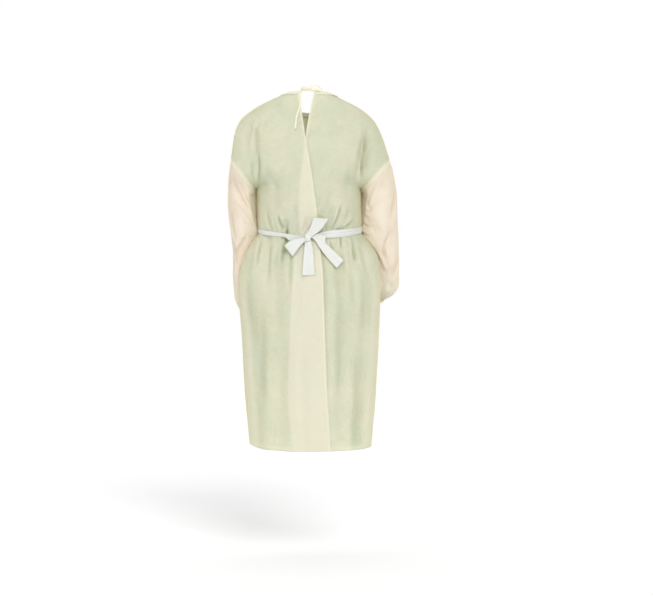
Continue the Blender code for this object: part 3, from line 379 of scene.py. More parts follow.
FRONT_ZONES = (
    (-180, 180, -200, -60, 0, 60, 0, 14, 85, 10, 1.0),
    (-160, -50, -330, -210, -35, 25, 0, 7, 90, 9, 1.3),
    (50, 160, -330, -210, 35, 25, 0, 7, 90, 9, 1.3),
    (-150, 150, -400, -270, 0, 20, -20, 12, 95, 9, 1.4),
    (-155, 155, -456, -420, 0, 12, 0, 15, 62, 4.5, 2.0),
    (-180, 180, -560, -480, 0, 10, 24, 14, 120, 8, 1.5),
    (-190, 190, -1090, -600, 0, 7, 0, 18, 230, 14, 1.4),
    (-200, 200, -1100, -60, 0, 90, 0, 90, 42, 4.0, 0.7),
)
SLEEVE_ZONES = (
    (0, 2 * math.pi * SLEEVE_RADIUS, -400, -40, 0, 40, 0, 26, 70, 8, 1.8),
    (0, 2 * math.pi * SLEEVE_RADIUS, -420, -20, 0, 90, 0, 46, 34, 4, 0.8),
)
VARIED_LENGTH, VARIED_WIDTH, VARIED_DEPTH, VARIED_BOW = (0.6, 1.5), (0.7, 1.4), (0.4, 1.4), (-0.15, 0.15)
CREASE_FADE = 0.35  # share of a crease's length over which each end fades away
CREASE_ROUND, CREASE_POWER = 0.03, 0.75  # how round and how steep a crease is
RIDGE_SHARE, RIDGE_OFF = 0.4, 1.9  # a crease's ridge, against its depth and width
SEAM_FADE = 14.0  # length beside a seam that creases leave alone
UNDULATION = 1.3  # how far the whole cloth swells and sinks
SWELL_WAVES, SWELL_LENGTHS, SWELL_WHOLE = 9, (70, 210), 4  # how many waves it has, their lengths and sum
SWELL_SEEDS = {BACK: 5, FRONT: 6, "left": 8, "right": 9}
EDGE_CURL = 3.0  # how far a back panel's free edge curls out
EDGE_REACH = 26.0  # and over what width
EDGE_WAVE = (0.55, 0.45)  # its curl, and how far that varies
EDGE_WAVE_LENGTHS = (37, 83)
HEM_WAVE = 2.2  # how far the hem waves in and out
HEM_WAVE_REACH, HEM_WAVE_FADE = 90.0, 40.0  # how far up that goes, and how near the side seam
HEM_WAVE_LENGTHS, HEM_WAVE_SWAY = (21, 57), 2
EDGE_RAMP = 2.5  # over which doubled cloth ends
SEAM_RIDGE = 0.5  # how far the doubled cloth along seams and hems stands out
FREE_FOLD, HEM_FOLD, SEAM_FOLD, ARM_FOLD = 4.0, 12.0, 4.0, 7.0  # widths of the doubled cloth
SIDE_SEEN, SIDE_FOLD = 4.5, 8.0  # the side seam's width as seen from behind, and round the side, where it is doubled and painted with a glow of light through its edge
STITCH_IN, HEM_STITCH_IN = 0.8, 1.0  # how far inside the doubled cloth's edge its stitches run
STITCH_PITCH, STITCH_SHARE, STITCH_THICK, STITCH_TAPER = 3.6, 0.66, 0.4, 0.25

# ---- belt and ties ----
BELT_GAP = 0.8  # from the panels to the belt
BELT_ENDS = (-10.0, 9.0)  # where the belt goes under the knot
BELT_PATH = Table("x half rise", (  # half the bunched belt's height, and how far it rides up
    (-300, 7.5, 9), (-165, 7, 8), (-130, 6.5, 7), (-98, 5.5, 6), (-78, 5, 5), (-60, 9.5, -1), (-38, 9, -2),
    (-14, 7, -3), (8, 6, -1), (30, 8, 4), (60, 9.5, 7.5), (110, 10, 9), (165, 9.5, 11), (300, 8, 9),
))
BELT_AROUND = 300.0  # the x in that table that stands for the front
BELT_HOLD = 1.0  # how far past the belt the cloth is held down
BELT_BACK_COUNT, BELT_FRONT_COUNT, BELT_ACROSS = 100, 180, 16
BELT_SWELL = 0.9  # half the height of the belt's ridges
# Its ridges: height, turns across the belt, sway, length and shift of the sway, and drift along the belt.
BELT_RIDGES = ((0.5, 2.6, 1.4, 47, 0, 1 / 160), (0.35, 4.4, -1.9, 31, 1, 0))
BELT_RIPPLE = (0.2, 7, 3)  # height, length and slant of the finer ripple on them
KNOT_X = -5.0  # the middle of the waist knot
KNOT_Z = -458.0
KNOT_SIZE = (20.0, 15.0, 25.0)
KNOT_OUT = 10.5  # from the panel to the middle of the knot
KNOT_CLEAR = 40.0  # the stretch of free edge that the knot holds flat
KNOT_ROUND, KNOT_BAND = 48, 20
KNOT_WRAPS = (  # lean, tilt, width and radius of each band, in shares of the knot's size
    (0.25, 0.1, 0.78, 0.40), (-0.75, 0.2, 0.6, 0.37), (0.95, -0.3, 0.6, 0.34), (1.5, 0.0, 0.7, 0.28),
)
KNOT_RIDGES, KNOT_TWIST, KNOT_THICK = 0.22, 0.12, 0.10  # of each band, in shares too
TAPE_GAP = 0.9  # from a panel to the nearest side of a tie
TAPE_ACROSS = 16
TAPE_WAVE, TAPE_TURN, TAPE_LEAN = 0.8, 1.9, 2.2  # how far a tape waves, and how the waves follow
PLEAT_REACH, PLEAT_DEPTH, PLEAT_SHIFT = 0.6, 1.3, 0.7  # how far out pleats run, and half their depth
# A tie over the back: its name, steps along it, pleats across it, whether both its ends are pleated, and
# its two edges as seen from behind, with how far each row stands off the panel.
BODY_TAPES = (
    ("waist_loop_upper", 48, 2.2, True, (
        (-14, -456, 4, -463, 8), (-11, -446, 13, -449, 8), (2, -426, 33, -433, 7), (8, -409, 45, -417, 7),
        (12.5, -396, 55.5, -400.5, 8), (13, -394.5, 56, -399, 10), (12.5, -396, 55.5, -400.5, 12),
        (8, -409, 44, -417, 13), (2, -426, 32, -433, 14), (-11, -446, 12, -450, 14),
        (-14, -457, 3, -464, 12),
    )),
    ("waist_loop_left", 48, 2.6, True, (
        (-8, -453, -9, -472, 8), (-20, -458, -18, -479, 8), (-38, -463, -30, -492, 7),
        (-57, -473, -40, -507, 7), (-73.5, -484.5, -50.5, -520, 7), (-75, -486, -52, -521.5, 9),
        (-73.5, -485, -51, -520, 11), (-57, -473, -40, -506, 13), (-38, -464, -30, -491, 13),
        (-20, -459, -18, -478, 13), (-8, -455, -9, -470, 11),
    )),
    ("waist_tail_centre", 30, 1.8, False, (
        (-11, -462, 2, -462, 7), (-13, -474, 5, -474, 7), (-17, -500, 11, -500, 5),
        (-20, -540, 14, -540, 4), (-22.5, -577, 17.5, -577, 4),
    )),
    ("waist_tail_right", 34, 2.4, True, (
        (22, -443, 0, -456, 9), (49, -450, 11, -462, 8), (48, -464, 19, -472, 8), (48, -474, 27, -486, 7),
        (61, -488, 40, -504, 5), (78, -505, 58, -526, 5), (92, -518, 71, -541, 5),
        (105.5, -530, 83, -555, 6),
    )),
)

# ---- neck ----
BINDING_HEIGHT = 11.0
BINDING_OUT = 1.4  # how far the binding stands off the cloth's outer side
BINDING_DROP = 13.5  # how far down it shows, puckers and all
BINDING_PROFILE = (  # side and drop of each line along the binding
    (1, BINDING_DROP), (1, BINDING_DROP - 2), (1, 8), (1, 4.5), (1, 1.5), (0.8, -0.6), (0.35, -1.6),
    (-0.35, -1.6), (-0.8, -0.6), (-1, 1.5), (-1, 4), (-1, 7), (-1, BINDING_DROP - 2), (-1, BINDING_DROP),
)
PUCKER_FINE, PUCKER_BROAD = (0.35, 2.1, 1.5, 9), (0.45, 13)  # height, length, and sway and its length
PUCKER_OUT, PUCKER_DOWN = (0.4, 0.6), 0.25  # how they push the binding out, and its lower edges down
NECK_BACK_COUNT, NECK_FRONT_COUNT, NECK_SMOOTHING = 60, 160, 6
NECK_SPACING = 0.05  # the least between two points of the neck's edge
NECK_CLEAR = 22.0  # the length of the free edges that lies flat below the neck
NECK_TAPE = 6.5  # the binding's width where it runs on as a tie
NECK_KNOT = (-21.0, -70.0, 16.0)
NECK_KNOT_SIZE = (14.0, 9.0, 12.0)
NECK_WIDE = (0, 0.45, 1)  # the way across the ties over the back
# Points of the ties: x, how far behind the neck's edge, and z.
NECK_LOOP_POINTS = (
    (-19, 7, 11), (-9, 9, 15.5), (2, 9.5, 20), (15, 9, 23.5), (26, 8, 22), (34, 6.5, 16.5), (38.5, 5.5, 9.5),
    (36, 5, 6), (29, 5.5, 9.5), (19, 6.5, 13), (8, 7.5, 13.5), (-4, 7, 12), (-14, 6, 11),
)
NECK_STRAND_POINTS = (
    (-19, 6, 11), (-9, 7, 10), (1, 7, 9), (8, 5.5, 8), (14, 3, 6.5), (20, 1.2, 4.5), (27, 1, 3.5), (34, 1, 3),
)
NECK_RISE_POINTS = (
    (-50, 1, 3.5), (-43, 1, 4), (-37, 1.4, 5), (-32, 3.5, 7), (-27, 5.5, 9), (-21, 6.5, 11), (-16, 6, 11),
)
NECK_TAIL_POINTS = ((-26, 7), (-30.5, -8), (-29.5, -32), (-34, -54), (-41, -82), (-45, -118))
NECK_TAIL_OUT = 3.0
TIE_STEPS, TIE_ROUND, TIE_THICK = 12, 12, 0.9
TIE_BREATH, TIE_PINCH = (0.08, 6), 0.35  # how a tie's width varies, and how flat its middle is
TIE_SWAY = (0.4, 8.5)  # and how it twists

# ---- finishes ----
# Attributes for the looks: doubled cloth, with painted glow on the skirt's sides and painted light on the
# lower sleeves; the painted shade and highlight of creases; and the side seam's band, doubled and painted
# with a glow.
CLOTH_MAP, DOUBLED_AND_GLOW, PAINTED_CREASE_SHADE, SIDE_SEAM_GLOW = "cloth", "doubled", "crease", "seam"
LAP_SHADE = 0.75  # how much lighter the overlap is, beside a folded edge
LAP_BLUR = 5.0  # half the width over which the under panel's edge shows through
BARE_SIDE, BARE_LEVEL, BARE_FADE, SKIRT_GLOW_STRENGTH = 17.0, -520.0, 120.0, 0.5  # a painted glow, as of light through the cloth, along the skirt's sides where it stands off the body
HEM_SHADE = 0.3
# The cuff's doubled cloth, and the painted shade and highlight of its gathers.
CUFF_SHADE, CUFF_CREASE = 0.6, 0.5
CREASE_SHADE, PUCKER_SHADE = 6.0, 0.4  # depth of crease at which its shade is full, and the gathers' shade
TROUGH_SHADE, RIDGE_SHADE = 0.5, 0.7  # how strongly the painted shade in the creases' troughs and the painted highlight on their ridges show
PAINTED_SLEEVE_LIGHT, PAINTED_LIGHT_REACH = 0.7, 170.0  # painted light: how much lighter the lower sleeve is painted towards the cuff, and over what length up the sleeve
BOND_PITCH, BOND_SQUAT = 1.7, 0.7
TINT = 1.6  # how strongly the cloth's tint varies
# Colours: trough is painted shade in creases, ridge a painted highlight on their ridges, seam a painted glow
# along the side seam, and thick doubled cloth that also carries painted glow and painted light; warm and cool
# vary the tone at random.
GOWN = {"cloth": (0.86, 0.845, 0.705), "thin": (0.71, 0.745, 0.57), "thick": (0.93, 0.90, 0.77),
        "trough": (0.44, 0.50, 0.31), "ridge": (0.90, 0.90, 0.78), "seam": (0.96, 0.92, 0.70),
        "warm": (0.83, 0.76, 0.63), "cool": (0.73, 0.80, 0.68), "bond": (0.72, 0.72, 0.54),
        "sheen": (1.0, 0.92, 0.52)}
SLEEVES = {"cloth": (0.95, 0.885, 0.775), "thin": (0.90, 0.79, 0.67), "thick": (0.96, 0.94, 0.78),
           "trough": (0.78, 0.60, 0.42), "ridge": (0.97, 0.93, 0.80), "seam": (0.98, 0.93, 0.64),
           "warm": (0.94, 0.82, 0.73), "cool": (0.96, 0.93, 0.76), "bond": (0.86, 0.76, 0.62),
           "sheen": (1.0, 0.92, 0.60)}
NECK = {"cloth": (0.90, 0.88, 0.71), "thin": (0.86, 0.84, 0.66), "bond": (0.80, 0.77, 0.58),
        "sheen": (1.0, 0.96, 0.78)}
WAIST = {"cloth": (0.85, 0.86, 0.82), "thin": (0.80, 0.815, 0.775), "bond": (0.74, 0.75, 0.71),
         "sheen": (1.0, 1.0, 0.96)}

# ---- stage, in metres ----
CAMERA_PLACE = (0.053, -4.934, -0.646)
CAMERA_LENS, CAMERA_SENSOR = 85.0, 36.0  # in millimetres
FLOOR_Z, FLOOR_HALF = -1.475, 14.0
WORLD_STRENGTH, WORLD_SEEN = 0.55, 1.0  # the room's light on the gown, and as the camera sees it
LIGHTS = (  # name, the way its light comes from, its width in degrees and strength
    ("key", (0.25, -0.9, 0.55), 26, 1.6),
    ("fill", (-0.7, -1.0, 0.05), 70, 0.7),
    ("behind", (-0.3, 1.0, 0.6), 150, 1.4),
)


# ---- the body ----
def sleeve_point(side, turn, along):
    """A sleeve's outer point before it meets the body beside it, and at its start the armhole's seam. The
    turn is 0 on the outer side and pi on the inner side, over the back."""
    out_x, out_z, in_x, in_z, mid_y, back, front, lift, swing = SLEEVE[side].at(SLEEVE_NAMES, along)
    across, behind = np.cos(turn), np.sin(turn)
    droop = behind ** 2 * ease(1 - along / SAG_FADE)
    x = (out_x + in_x) / 2 + (out_x - in_x) / 2 * across + swing * behind + ARMHOLE_BULGE * droop
    z = (out_z + in_z) / 2 + (out_z - in_z) / 2 * across - lift * behind - ARMHOLE_SAG * droop
    return xyz(SIGN[side] * x, mid_y - np.where(behind > 0, back, front) * behind, z)


def row_end(side, face, level):
    """Where a row ends, on the shoulder seam, armhole or side seam, and its turn round the armhole."""
    turn = np.clip((ARM_TOP_LEVEL - level) / (ARM_TOP_LEVEL - UNDERARM_LEVEL), 0, 1) * math.pi
    shoulder_x, shoulder_z = SHOULDER.at(side + "_x " + side + "_z", level)
    seam_x, seam_y = SIDE.at(side + "_x side_y", level)
    shoulder = xyz(SIGN[side] * shoulder_x, 0, shoulder_z)
    seam = xyz(SIGN[side] * seam_x, seam_y, level + HEM.at(side + "_lift", level))
    end = np.where((level <= UNDERARM_LEVEL)[..., None], seam, sleeve_point(side, -face * turn, 0.0))
    return np.where((level >= ARM_TOP_LEVEL)[..., None], shoulder, end), turn


def body_on_side(side, face, t, level):
    """A point of the body's outer hull, t of the way from the middle (0) round to the side (1)."""
    end, turn = row_end(side, face, level)
    name = "back" if face == BACK else "front"
    start = xyz(0, *MIDDLE.at(name + "_y " + name + "_z", level))
    full = BACK_FULL if face == BACK else MIDDLE.at("front_full", level)
    reach = end - start
    leave = start + reach * (MIDDLE_FULL, 0, 0)
    arrive = end - reach * xyz(ARM_REACH * np.sin(turn), full, HEM.at("height_hold", level))
    t = t[..., None]
    return ((1 - t) ** 3 * start + 3 * (1 - t) ** 2 * t * leave
            + 3 * (1 - t) * t ** 2 * arrive + t ** 3 * end)


def body(face, t, level):
    """A point of the body's outer hull: t runs from -1 on the left seam to 1 on the right seam."""
    t, level = alike(t, level)
    left, right = (body_on_side(side, face, np.abs(t), level) for side in SIGN)
    return np.where((t < 0)[..., None], left, right)


def body_normal(face, t, level):
    """The hull's outward direction, from small steps along it."""
    t, level = alike(t, level)
    along = body(face, np.minimum(t + T_STEP, 1), level) - body(face, np.maximum(t - T_STEP, -1), level)
    lower, upper = np.maximum(level - LEVEL_STEP, HEM_LEVEL), np.minimum(level + LEVEL_STEP, 0)
    return unit(np.cross(along, body(face, t, lower) - body(face, t, upper)) * face)


def lifted(face, t, level, out):
    """A point of the hull, moved out."""
    return body(face, t, level) + body_normal(face, t, level) * np.asarray(out)[..., None]


def halved(is_short, low, high):
    """Where between two arrays a test stops being true."""
    for _ in range(HALVINGS):
        middle = (low + high) / 2
        short = is_short(middle)
        low, high = np.where(short, middle, low), np.where(short, high, middle)
    return (low + high) / 2


def solve_t(face, level, x):
    """The t at which a row reaches x."""
    ones = np.ones_like(level)
    return halved(lambda t: body(face, t, level)[..., 0] < x, -ones, ones)


def on_body(face, x, z):
    """The t and level of the hull's point that is seen at x and z from straight behind or in front."""
    x, z = alike(x, z)
    level = z
    for _ in range(HEIGHT_ROUNDS):
        t = solve_t(face, level, x)
        level = np.clip(level + z - body(face, t, level)[..., 2], HEM_LEVEL, 0)
    return t, level


def back_edge_t(column, levels):
    """The t of a back panel's free edge on each row."""
    return solve_t(BACK, levels, BACK_EDGE.at(column, MIDDLE.at("back_z", levels)))


def body_side_x(side, y, z):
    """How far out the hull reaches at y and z, or 0 where it isn't."""
    best, ones = np.zeros_like(y), np.ones_like(y)
    for face in (BACK, FRONT):
        level = np.clip(z, HEM_LEVEL, UNDERARM_LEVEL)
        for _ in range(HEIGHT_ROUNDS):
            t = halved(lambda t: body(face, SIGN[side] * t, level)[..., 1] * face > y * face, 0 * ones, ones)
            point = body(face, SIGN[side] * t, level)
            level = np.clip(level + z - point[..., 2], HEM_LEVEL, UNDERARM_LEVEL)
        middle_y, seam_y = (body(face, SIGN[side] * t, level)[..., 1] for t in (0, 1))
        here = ((y - seam_y) * face >= 0) & ((middle_y - y) * face >= 0)
        best = np.where(here, np.abs(point[..., 0]), best)
    return best


SIDES_Y = np.linspace(-SIDES_REACH, SIDES_REACH, SIDES_COUNT)
SIDES_Z = np.linspace(HEM_LEVEL, UNDERARM_LEVEL, SIDES_COUNT)
BODY_SIDES = {side: body_side_x(side, *np.meshgrid(SIDES_Y, SIDES_Z, indexing="ij")) for side in SIGN}


def body_side(side, y, z):
    """How far out the hull reaches, between the four nearest points of a grid worked out once."""
    i, j = (np.clip((value - line[0]) / (line[1] - line[0]), 0, SIDES_COUNT - 1.001)
            for value, line in ((y, SIDES_Y), (z, SIDES_Z)))
    low_i, low_j = i.astype(int), j.astype(int)
    i, j = i - low_i, j - low_j
    return sum(BODY_SIDES[side][low_i + a, low_j + b] * abs(1 - a - i) * abs(1 - b - j)
               for a in (0, 1) for b in (0, 1))


# ---- folds and creases ----
def trough_depth(rows, x, z, fade, profile):
    """How far troughs down lines sink a surface at x and z. A row of folds has no bow, and the profile
    is a trough's depth across it, by the share of its width."""
    depth = np.zeros_like(x)
    for top_x, top_z, low_x, low_z, *bow, width, deepest in rows:
        run_x, run_z = low_x - top_x, low_z - top_z
        length = math.hypot(run_x, run_z)
        from_x, from_z = x - top_x, z - top_z
        share = (from_x * run_x + from_z * run_z) / length ** 2
        off = (from_x * run_z - from_z * run_x) / length + 4 * sum(bow) * share * (1 - share)
        depth += deepest * ease(share / fade) * ease((1 - share) / fade) * profile(off / width)
    return depth


def fold_depth(rows, x, z):
    return trough_depth(rows, x, z, FOLD_FADE, lambda across: np.exp(-across ** 2))


def crease_depth(rows, x, z):
    """As fold_depth, with a ridge beside each trough."""
    def profile(across):
        trough = np.exp(-(across ** 2 + CREASE_ROUND) ** CREASE_POWER)
        return trough - RIDGE_SHARE * np.exp(-(across - RIDGE_OFF) ** 2)

    return trough_depth(rows, x, z, CREASE_FADE, profile)


def scattered(zones, seed):
    """Rows for crease_depth, scattered over the zones."""
    chance = np.random.default_rng(seed)
    rows = []
    for low_x, high_x, low_z, high_z, lean, spread, fan, count, length, width, depth in zones:
        for _ in range(count):
            x = chance.uniform(low_x, high_x)
            z = chance.uniform(low_z, high_z)
            fanned = lean + fan * (2 * (x - low_x) / (high_x - low_x) - 1)
            angle = math.radians(fanned + spread * chance.uniform(-1, 1))
            half = length * chance.uniform(*VARIED_LENGTH) / 2
            one_width = width * chance.uniform(*VARIED_WIDTH) * chance.choice((-1, 1))
            one_depth = depth * chance.uniform(*VARIED_DEPTH)
            bow = half * chance.uniform(*VARIED_BOW)
            run_x, run_z = half * math.sin(angle), half * math.cos(angle)
            rows.append((x - run_x, z + run_z, x + run_x, z - run_z, bow, one_width, one_depth))
    return rows


def swell(x, z, seed):
    """A smooth uneven field from about -1 to 1: waves of several lengths and directions."""
    chance = np.random.default_rng(seed)
    total = np.zeros_like(x)
    for _ in range(SWELL_WAVES):
        length, angle, phase = (chance.uniform(*limits) for limits in (SWELL_LENGTHS, (0, math.pi), (0, 6.3)))
        total += np.sin(2 * math.pi * (x * math.cos(angle) + z * math.sin(angle)) / length + phase)
    return total / SWELL_WHOLE


def unrolled(rows):
    """A sleeve's rows in the plane of its cloth."""
    scale = math.radians(SLEEVE_RADIUS)
    return [(top_turn * scale, -top, low_turn * scale, -low, *rest)
            for top_turn, top, low_turn, low, *rest in rows]


PANEL_FOLDS = {BACK: BACK_FOLDS, FRONT: FRONT_FOLDS}
CREASES = {
    BACK: [*BACK_CREASES, *scattered(BACK_ZONES, 11)],
    FRONT: [*FRONT_CREASES, *scattered(FRONT_ZONES, 23)],
    "left": unrolled(SLEEVE_CREASES["left"]) + scattered(SLEEVE_ZONES, 31),
    "right": unrolled(SLEEVE_CREASES["right"]) + scattered(SLEEVE_ZONES, 32),
}


# ---- meshes ----
def grid_corners(rows, columns, wrap, wrap_rows=False):
    """The row and column of the four corners of each cell of a grid, counted on where it wraps."""
    i, j = np.meshgrid(np.arange(rows - (not wrap_rows)), np.arange(columns - (not wrap)), indexing="ij")
    return i.reshape(-1, 1) + (0, 0, 1, 1), j.reshape(-1, 1) + (0, 1, 1, 0)


def grid_faces(rows, columns, wrap, wrap_rows=False):
    """The four corners of each cell, as numbers of points."""
    i, j = grid_corners(rows, columns, wrap, wrap_rows)
    return i % rows * columns + j % columns


def mesh_object(name, vertices, faces, material):
    """A smooth mesh from points in millimetres."""
    mesh = bpy.data.meshes.new(name)
    mesh.from_pydata((np.asarray(vertices) * MM).tolist(), [], [list(face) for face in faces])
    mesh.update()
    mesh.materials.append(material)
    mesh.shade_smooth()
    piece = bpy.data.objects.new(name, mesh)
    bpy.context.scene.collection.objects.link(piece)
    return piece


def cloth_object(name, points, outward, looks, material, wrap=False):
    """A thin shell of cloth on a grid of outer points, with lengths along the cloth as its UV map."""
    shape = points.shape[:2]
    flat = points.reshape(-1, 3)
    i, j = grid_corners(*shape, wrap)
    faces = i * shape[1] + j % shape[1]
    a, b, c = (flat[faces[:, k]] for k in range(3))
    away = np.broadcast_to(outward, points.shape).reshape(-1, 3)[faces[:, 0]]
    if np.sum(np.cross(b - a, c - a) * away) < 0:
        faces, i, j = (values[:, ::-1] for values in (faces, i, j))
    piece = mesh_object(name, flat, faces, material)
    grid = np.concatenate((points, points[:, :1]), axis=1) if wrap else points
    uv = np.stack([run_lengths(grid, axis)[i, j] for axis in (1, 0)], axis=-1) * MM
    piece.data.uv_layers.new(name=CLOTH_MAP).data.foreach_set("uv", uv.reshape(-1).astype(np.float32))
    for key, values in looks.items():
        values = np.broadcast_to(values, shape).reshape(-1).astype(np.float32)
        piece.data.attributes.new(key, "FLOAT", "POINT").data.foreach_set("value", values)
    shell = piece.modifiers.new("cloth", "SOLIDIFY")
    shell.thickness = CLOTH * MM
    shell.offset = -1
    return piece


# ---- stitches ----
def stitch_line(lines, path, outward, pitch=STITCH_PITCH):
    """Adds a row of stitches along a line that lies on cloth: short rods, each a share of the pitch."""
    path, outward = np.asarray(path), np.asarray(outward)
    total = run_lengths(path, 0)
    starts = np.arange(pitch, total[-1] - pitch, pitch)
    one, two = (at_length(starts + share * pitch, total, path) for share in (0, STITCH_SHARE))
    lines.append((one, two, unit(at_length(starts, total, outward))))


def stitches(name, lines, material):
    """All the rods of the stitch lines in one mesh."""
    one, two, out = (np.concatenate([line[k] for line in lines]) for k in range(3))
    side = unit(np.cross(two - one, out)) * STITCH_THICK / 2
    inset = (two - one) * STITCH_TAPER
    corners = [one - side, one + side, two + side, two - side]
    high = [corner + out * STITCH_THICK + way * inset for corner, way in zip(corners, (1, 1, -1, -1))]
    vertices = np.stack(corners + high, axis=1)
    each = np.array([[0, 1, 5, 4], [1, 2, 6, 5], [2, 3, 7, 6], [3, 0, 4, 7], [4, 5, 6, 7]])
    faces = (each[None] + 8 * np.arange(len(vertices))[:, None, None]).reshape(-1, 4)
    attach(mesh_object(name, vertices.reshape(-1, 3), faces, material), "root")


# ---- panels ----
def panel_levels():
    """The level of each row, from the neck to the hem."""
    stretches = ((0, ARM_TOP_LEVEL, SHOULDER_COUNT), (ARM_TOP_LEVEL, UNDERARM_LEVEL, ARM_COUNT),
                 (UNDERARM_LEVEL, HEM_LEVEL, SIDE_COUNT))
    return np.concatenate([[0]] + [np.linspace(high, low, count + 1)[1:] for high, low, count in stretches])


def near(length, width):
    """1 within a width of an edge and 0 beyond it, with a short ramp."""
    return 1 - ease((length - width) / EDGE_RAMP)


def creased_panel(face, t):
    """A panel's outer points with its folds, creases and hem, their outward way, and its looks: doubled
    cloth, painted glow and the painted shade of its creases.
    """
    level = np.broadcast_to(panel_levels()[:, None], t.shape)
    hull, normal = body(face, t, level), body_normal(face, t, level)
    x, z = hull[..., 0], hull[..., 2]
    from_seam = np.abs(hull - body(face, np.where(t < 0, -1, 1), level))
    inward, side = from_seam[..., 0], from_seam[..., :2].sum(axis=-1)
    depth = crease_depth(CREASES[face], x, z)
    # Painted shade in the creases' troughs and painted highlight on their ridges, from their depth.
    shade = np.clip(depth / CREASE_SHADE, -1, 1)
    depth += UNDULATION * swell(x, z, SWELL_SEEDS[face])
    depth *= ease(side / SEAM_FADE) * ease(-level / SEAM_FADE)
    depth += fold_depth(PANEL_FOLDS[face], x, z) * ease((1 - np.abs(t)) / SIDE_FADE)
    half, rise = BELT_PATH.at("half rise", x if face == BACK else np.sign(x) * BELT_AROUND)
    under_belt = near(np.abs(level - WAIST_LEVEL - rise), half + BELT_HOLD)
    depth += (np.maximum(depth, 0) - depth) * under_belt
    low = ease((HEM_LEVEL - level) / HEM_WAVE_REACH + 1) * ease(side / HEM_WAVE_FADE)
    sway = HEM_WAVE_SWAY * np.sin(x / HEM_WAVE_LENGTHS[1])
    depth -= low * HEM_WAVE * np.sin(x / HEM_WAVE_LENGTHS[0] + sway)
    points = hull - normal * depth[..., None]
    lower = ease((UNDERARM_LEVEL - level) / SEAM_FOLD)
    fold = SEAM_FOLD + (ARM_FOLD - SEAM_FOLD) * ease((ARM_TOP_LEVEL - level) / ARM_FOLD)
    # Doubled cloth along the seams; below the underarm the side seam's band also gets a painted glow.
    seam = near(side, fold) * (1 - lower) + near(inward, SIDE_SEEN) * near(side, SIDE_FOLD) * lower
    # Painted glow, as of light through the cloth, along the skirt's sides where it stands off the body.
    skirt_glow = SKIRT_GLOW_STRENGTH * (1 - ease((inward - BARE_SIDE) / BARE_SIDE)) * ease((BARE_LEVEL - level) / BARE_FADE)
    hem = HEM_SHADE * near(run_lengths(points, 0, True), HEM_FOLD)
    doubled = np.maximum(seam, np.maximum(hem, skirt_glow))
    return points, normal, {DOUBLED_AND_GLOW: doubled, PAINTED_CREASE_SHADE: shade, SIDE_SEAM_GLOW: seam * lower}


def sewn_panel(name, points, normal, looks, first_fold, material, sewing):
    """A panel's cloth, with stitch lines up its side edges and along its hem."""
    for step, fold in ((1, first_fold), (-1, SEAM_FOLD)):
        lengths = run_lengths(points[:, ::step], 1)
        path, outward = ([at_length(fold - STITCH_IN, *row) for row in zip(lengths, values[:, ::step])]
                         for values in (points, normal))
        stitch_line(sewing, path, outward)
    from_hem = run_lengths(points, 0, True)
    row = np.argmin(np.abs(from_hem - HEM_FOLD + HEM_STITCH_IN).mean(axis=1))
    stitch_line(sewing, points[row], normal[row])
    return cloth_object(name, points, normal, looks, material)


def back_panel(side, material, sewing):
    """A back panel, from its free edge to its side. The right one lies underneath."""
    rows = panel_levels()
    edge = back_edge_t("over_x" if side == "left" else "under_x", rows)[:, None]
    t = edge + (SIGN[side] - edge) * np.linspace(0, 1, BACK_COUNT + 1)
    points, normal, looks = creased_panel(BACK, t)
    x, z = points[..., 0], points[..., 2]
    from_edge = run_lengths(points, 1)
    wave = np.sin(z / EDGE_WAVE_LENGTHS[0] + SIGN[side]) * np.sin(z / EDGE_WAVE_LENGTHS[1])
    out = (1 - ease(from_edge / EDGE_REACH)) ** 2 * EDGE_CURL * (EDGE_WAVE[0] + EDGE_WAVE[1] * wave)
    out *= (1 - near(np.abs(z - KNOT_Z), KNOT_CLEAR)) * ease((-rows[:, None] - NECK_CLEAR) / NECK_CLEAR)
    doubled = np.maximum(looks[DOUBLED_AND_GLOW], near(from_edge, FREE_FOLD))
    over_x, under_x = BACK_EDGE.at("over_x under_x", z)
    lapped = ease((LAP_START[0] - z) / (LAP_START[0] - LAP_START[1]))
    laid = 0
    if side == "left":
        laid = ease((x - under_x + LAP_BLUR) / (2 * LAP_BLUR)) * lapped
    else:
        past = 1 - ease((x - over_x - LAP_PAST) / LAP_RAMP)
        out = out * (1 - lapped) - past * lapped * (WALL + LAP_GAP)
    points = points + normal * (out + SEAM_RIDGE * doubled)[..., None]
    looks[DOUBLED_AND_GLOW] = np.maximum(doubled, LAP_SHADE * laid)
    return sewn_panel("gown_back_" + side, points, normal, looks, FREE_FOLD, material, sewing)


def front_panel(material, sewing):
    t = np.tile(np.linspace(-1, 1, FRONT_COUNT + 1), (len(panel_levels()), 1))
    points, normal, looks = creased_panel(FRONT, t)
    points = points + normal * (SEAM_RIDGE * looks[DOUBLED_AND_GLOW])[..., None]
    return sewn_panel("gown_front", points, normal, looks, SEAM_FOLD, material, sewing)


# ---- sleeves and cuffs ----
def sleeve_x(turn):
    """The turns round a sleeve as lengths."""
    return np.mod(turn, 2 * math.pi) * SLEEVE_RADIUS


def sleeve_ends(side, along):
    """1 down a sleeve and 0 at its two ends."""
    return ease(along / SLEEVE_TOP_FADE) * ease((SLEEVE[side].key[-1] - along) / SLEEVE_END_FADE)


